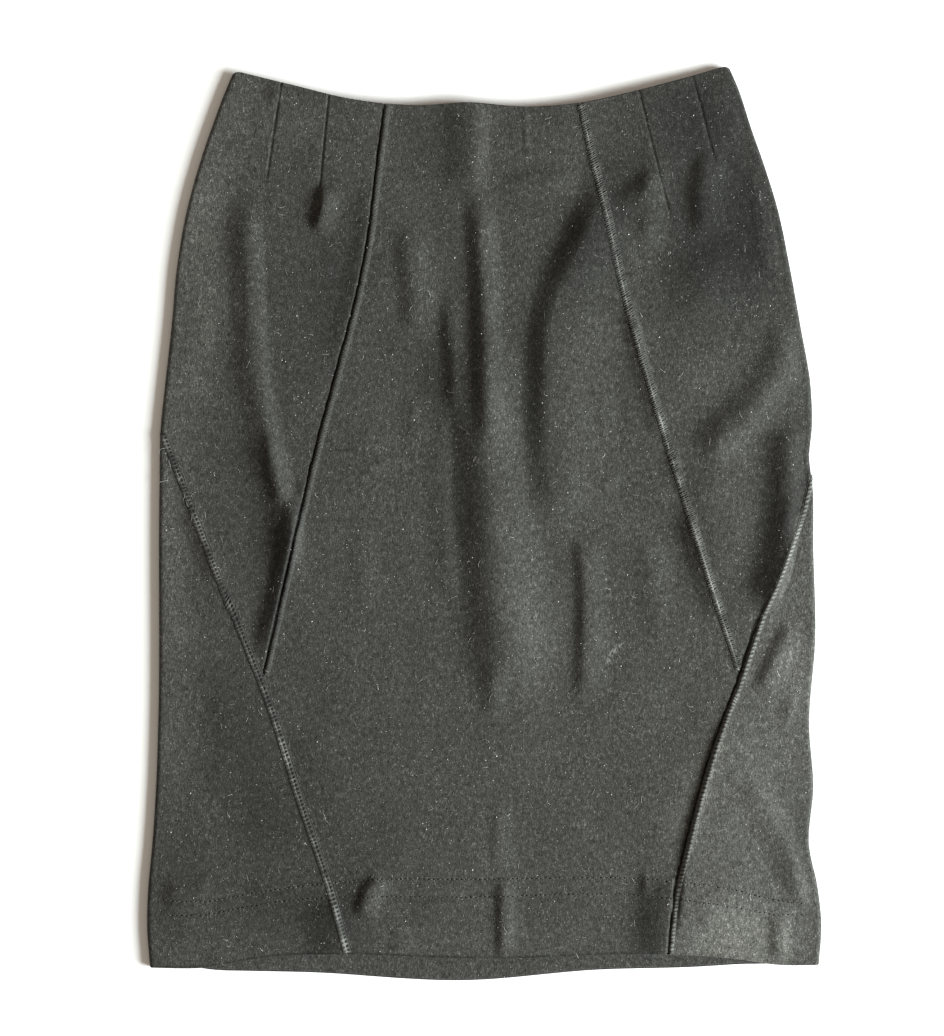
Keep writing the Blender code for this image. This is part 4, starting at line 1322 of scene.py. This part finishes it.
def lint(count, material, seed):
    """Specks of white and grey lint: small uneven lumps of eight faces."""
    random = np.random.default_rng(seed)
    x, drop = on_front(random, count)
    count = len(x)
    middle = on_top(x, drop, -0.15)[:, None]
    corners = np.array([(1, 0, 0), (-1, 0, 0), (0, 1, 0), (0, -1, 0), (0, 0, 1), (0, 0, -1)], float)
    size = (0.20 + 0.42 * random.beta(1.2, 5.0, count))[:, None, None]
    stretch = random.uniform(0.6, 1.3, (count, 6, 1)) * np.array([1.0, 1.35, 0.7])
    points = middle + corners * size * stretch * METRES
    faces = np.array([(0, 2, 4), (2, 1, 4), (1, 3, 4), (3, 0, 4), (2, 0, 5), (1, 2, 5), (3, 1, 5), (0, 3, 5)])
    index = (np.arange(count)[:, None, None] * 6 + faces).reshape(-1, 3)
    shade = np.repeat(random.beta(1.3, 2.0, count), 6)
    return make_mesh("lint_specks", points.reshape(-1, 3), [index], material, {"shade": shade})


def edge_fuzz(material, seed):
    """Fine fibres that stick out past the sides, the waist and the hem."""
    random = np.random.default_rng(seed)
    paths = []
    t = np.linspace(0, 1, 4)
    for side in SIDES:
        count = 480
        fall = random.uniform(0.01, 0.99, count)
        drop = side_drop(side, LENGTH, fall)
        height = random.uniform(1.5, 5.6, count)
        out = edge_curves[side.sign](drop) - FOLD_RADIUS
        out = out + np.sqrt(np.clip(FOLD_RADIUS**2 - (height - FOLD_RADIUS) ** 2, 0, None)) - 0.2
        reach = random.uniform(0.3, 1.1, count)[:, None] * t
        slide = random.normal(0, 0.9, count)[:, None] * t**2
        paths.append(placed(side.sign * (out[:, None] + reach), drop[:, None] + slide, height[:, None]))
    for edge_fall, outwards in ((0.0, -1.0), (1.0, 1.0)):
        count = 300
        x = random.uniform(-178, 174, count) if edge_fall == 0 else random.uniform(-240, 240, count)
        drop = front_drop(x, edge_fall)
        height = 2 * FOLD_RADIUS + front_rise(x, drop) - CLOTH * random.uniform(0.2, 0.8, count)
        reach = (0.2 + outwards * 0) + random.uniform(0.3, 1.0, count)[:, None] * t
        slide = random.normal(0, 0.8, count)[:, None] * t**2
        paths.append(placed(x[:, None] + slide, drop[:, None] + outwards * reach, height[:, None]))
    paths = np.concatenate(paths)
    radii = np.array([0.07, 0.06, 0.05, 0.03])
    return tubes("edge_fuzz", material, paths, radii, 3, random.uniform(0, 0.6, len(paths)))


# --- The zip --------------------------------------------------------------------------------------

def zip_pieces(tape, coil):
    """The two tapes on the inside of the back, and the coil's turns that hold them together."""
    falls = row_falls(3.0, 0.0135, ZIP_LENGTH / LENGTH)
    made = {}
    for side in SIDES:
        knots = np.stack([centre_back(falls) + side.sign * 0.5, centre_back(falls) + side.sign * TAPE_WIDTH], 1)
        x = spread_columns(knots, (10,))
        fall = np.broadcast_to(falls[:, None], x.shape)
        depth = CLOTH + GAP
        made[f"back_zip_tape_{side.name}"] = grid_wall(
            f"zip_tape_woven_{side.name}", tape, back_point(x, fall, depth),
            back_point(x, fall, depth + TAPE_THICKNESS),
        )
    pitch = 1.5
    drops = np.arange(0.0135 * LENGTH + 20 + BACK_DIP, ZIP_LENGTH - 3, pitch)
    turns = np.linspace(-1, 1, 7)
    fall = (drops - back_waist(0)) / (front_hem(0) - back_waist(0))
    fall = np.clip(fall, 0.016, None)[:, None] + 0 * turns
    lift = CLOTH + GAP + TAPE_THICKNESS + 0.25 + 0.7 * np.sqrt(1 - (0.98 * turns) ** 2)
    slant = 0.0007 * turns * np.where(np.arange(len(drops)) % 2, 1, -1)[:, None]
    paths = back_point(centre_back(fall) + 2.3 * turns, fall + slant, lift)
    return made, tubes("zip_coil", coil, paths, 0.34, 6, np.full(len(drops), 0.3))


# --- The surface, the light and the camera --------------------------------------------------------

VIEW_HEIGHT = 767.0     # what the photograph's frame spans, from its top to its bottom
VIEW_MIDDLE = (-9.2, 3.8)
CAMERA_HEIGHT = 2600.0
CLOTH_TOP = 8.0


def surface():
    """A plain near-white surface under the skirt."""
    material, _, _ = new_material("white_surface", (0.90, 0.90, 0.895), 0.9, specular=0.2)
    half = 6.0
    below = -0.0004
    points = [(-half, -half, below), (half, -half, below), (half, half, below), (-half, half, below)]
    floor = make_mesh("surface", np.array(points), [np.array([[0, 1, 2, 3]])], material)


def area_light(name, energy, size, place, colour):
    light = bpy.data.lights.new(name, "AREA")
    light.energy = energy
    light.size = size
    light.color = colour
    lamp = bpy.data.objects.new(name, light)
    lamp.location = place
    bpy.context.scene.collection.objects.link(lamp)
    aim = -lamp.location
    lamp.rotation_euler = aim.to_track_quat("-Z", "Y").to_euler()


def lights():
    """A big soft lamp low on the right, in a warm even surround."""
    area_light("key_right", 540.0, 2.1, (3.35, -0.95, 1.65), (0.925, 0.985, 1.0))
    world = bpy.data.worlds.new("soft_surround")
    world.use_nodes = True
    background = world.node_tree.nodes["Background"]
    background.inputs["Color"].default_value = (1.0, 0.87, 0.73, 1.0)
    background.inputs["Strength"].default_value = 0.38
    bpy.context.scene.world = world


def camera():
    """Straight above, as the photograph was taken."""
    lens = bpy.data.cameras.new("overhead")
    lens.lens = lens.sensor_width * (CAMERA_HEIGHT - CLOTH_TOP) / VIEW_HEIGHT
    eye = bpy.data.objects.new("overhead", lens)
    eye.location = (VIEW_MIDDLE[0] * METRES, VIEW_MIDDLE[1] * METRES, CAMERA_HEIGHT * METRES)
    bpy.context.scene.collection.objects.link(eye)
    bpy.context.scene.camera = eye
    bpy.context.scene.view_settings.view_transform = "Standard"


# --- Putting it together --------------------------------------------------------------------------


def add_piece(piece, body, slot, *nodes):
    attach(piece, body)
    if nodes:
        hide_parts(*nodes)


def build():
    cloth = brushed_cloth()
    ladder = ladder_cloth()
    thread = wool_thread("seam_loop_thread", (0.016, 0.016, 0.014), (0.15, 0.151, 0.140))
    stitch = wool_thread("hem_stitch_thread", (0.036, 0.036, 0.033), (0.13, 0.131, 0.122))
    fibre = wool_thread("loose_fibre", (0.05, 0.05, 0.047), (0.44, 0.45, 0.43))
    speck = wool_thread("lint_fluff", (0.16, 0.16, 0.15), (0.85, 0.86, 0.83))
    needle_shade, _, _ = new_material("needle_hole_shade", (0.008, 0.008, 0.007), 1.0, specular=0.0)

    sheets = front_pieces(row_falls(ROW_STEP), cloth)
    sheets.update(back_pieces(row_falls(BACK_ROW_STEP), cloth))
    sheets.update(turn_ups(cloth))
    for node, piece in sheets.items():
        add_piece(piece, BODY, "charcoal_cloth", node)

    seed = 100
    for side in SIDES:
        for is_upper in (True, False):
            level = "upper" if is_upper else "lower"
            node = f"front_{level}_seam_{side.name}"
            add_piece(seam_band(side, is_upper, ladder, seed), BODY, "seam_thread", node)
            add_piece(seam_loops(side, is_upper, thread, seed), BODY, "seam_thread")
            seed += 10
    add_piece(needle_line(RIGHT, True, -3.7, thread, 61), BODY, "seam_thread")
    add_piece(needle_line(LEFT, False, 3.9, thread, 62), BODY, "seam_thread")

    for above, name, dash, radius, seed in (
        (top_row_above_hem, "top_row", 1.5, 0.20, 71), (second_row_above_hem, "second_row", 1.3, 0.15, 72),
    ):
        for piece in hem_stitches(above, name, dash, radius, stitch, needle_shade, seed):
            add_piece(piece, BODY, "seam_thread")

    add_piece(loose_fibres("short_fibres", 4000, (0.9, 2.6), 0.085, fibre, 81), BODY, "charcoal_cloth")
    add_piece(loose_fibres("long_fibres", 330, (3.0, 7.0), 0.085, speck, 82), BODY, "charcoal_cloth")
    add_piece(lint(1500, speck, 83), BODY, "charcoal_cloth")
    add_piece(edge_fuzz(fibre, 84), BODY, "charcoal_cloth")
    add_piece(frayed_ends(fibre, 85), BODY, "seam_thread")

    tapes, coil = zip_pieces(twill_tape(), wool_thread("zip_coil_nylon", (0.015, 0.015, 0.015), (0.05, 0.05, 0.05), 0.45))
    for node, piece in tapes.items():
        add_piece(piece, BODY, "zip_tape", node)
    add_piece(coil, BODY, "zip_tape")
    metal = lacquered_metal()
    for node in ("back_zip_slider", "back_zip_pull"):
        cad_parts[node].material_slots[0].material = metal


surface()
build()
lights()
camera()
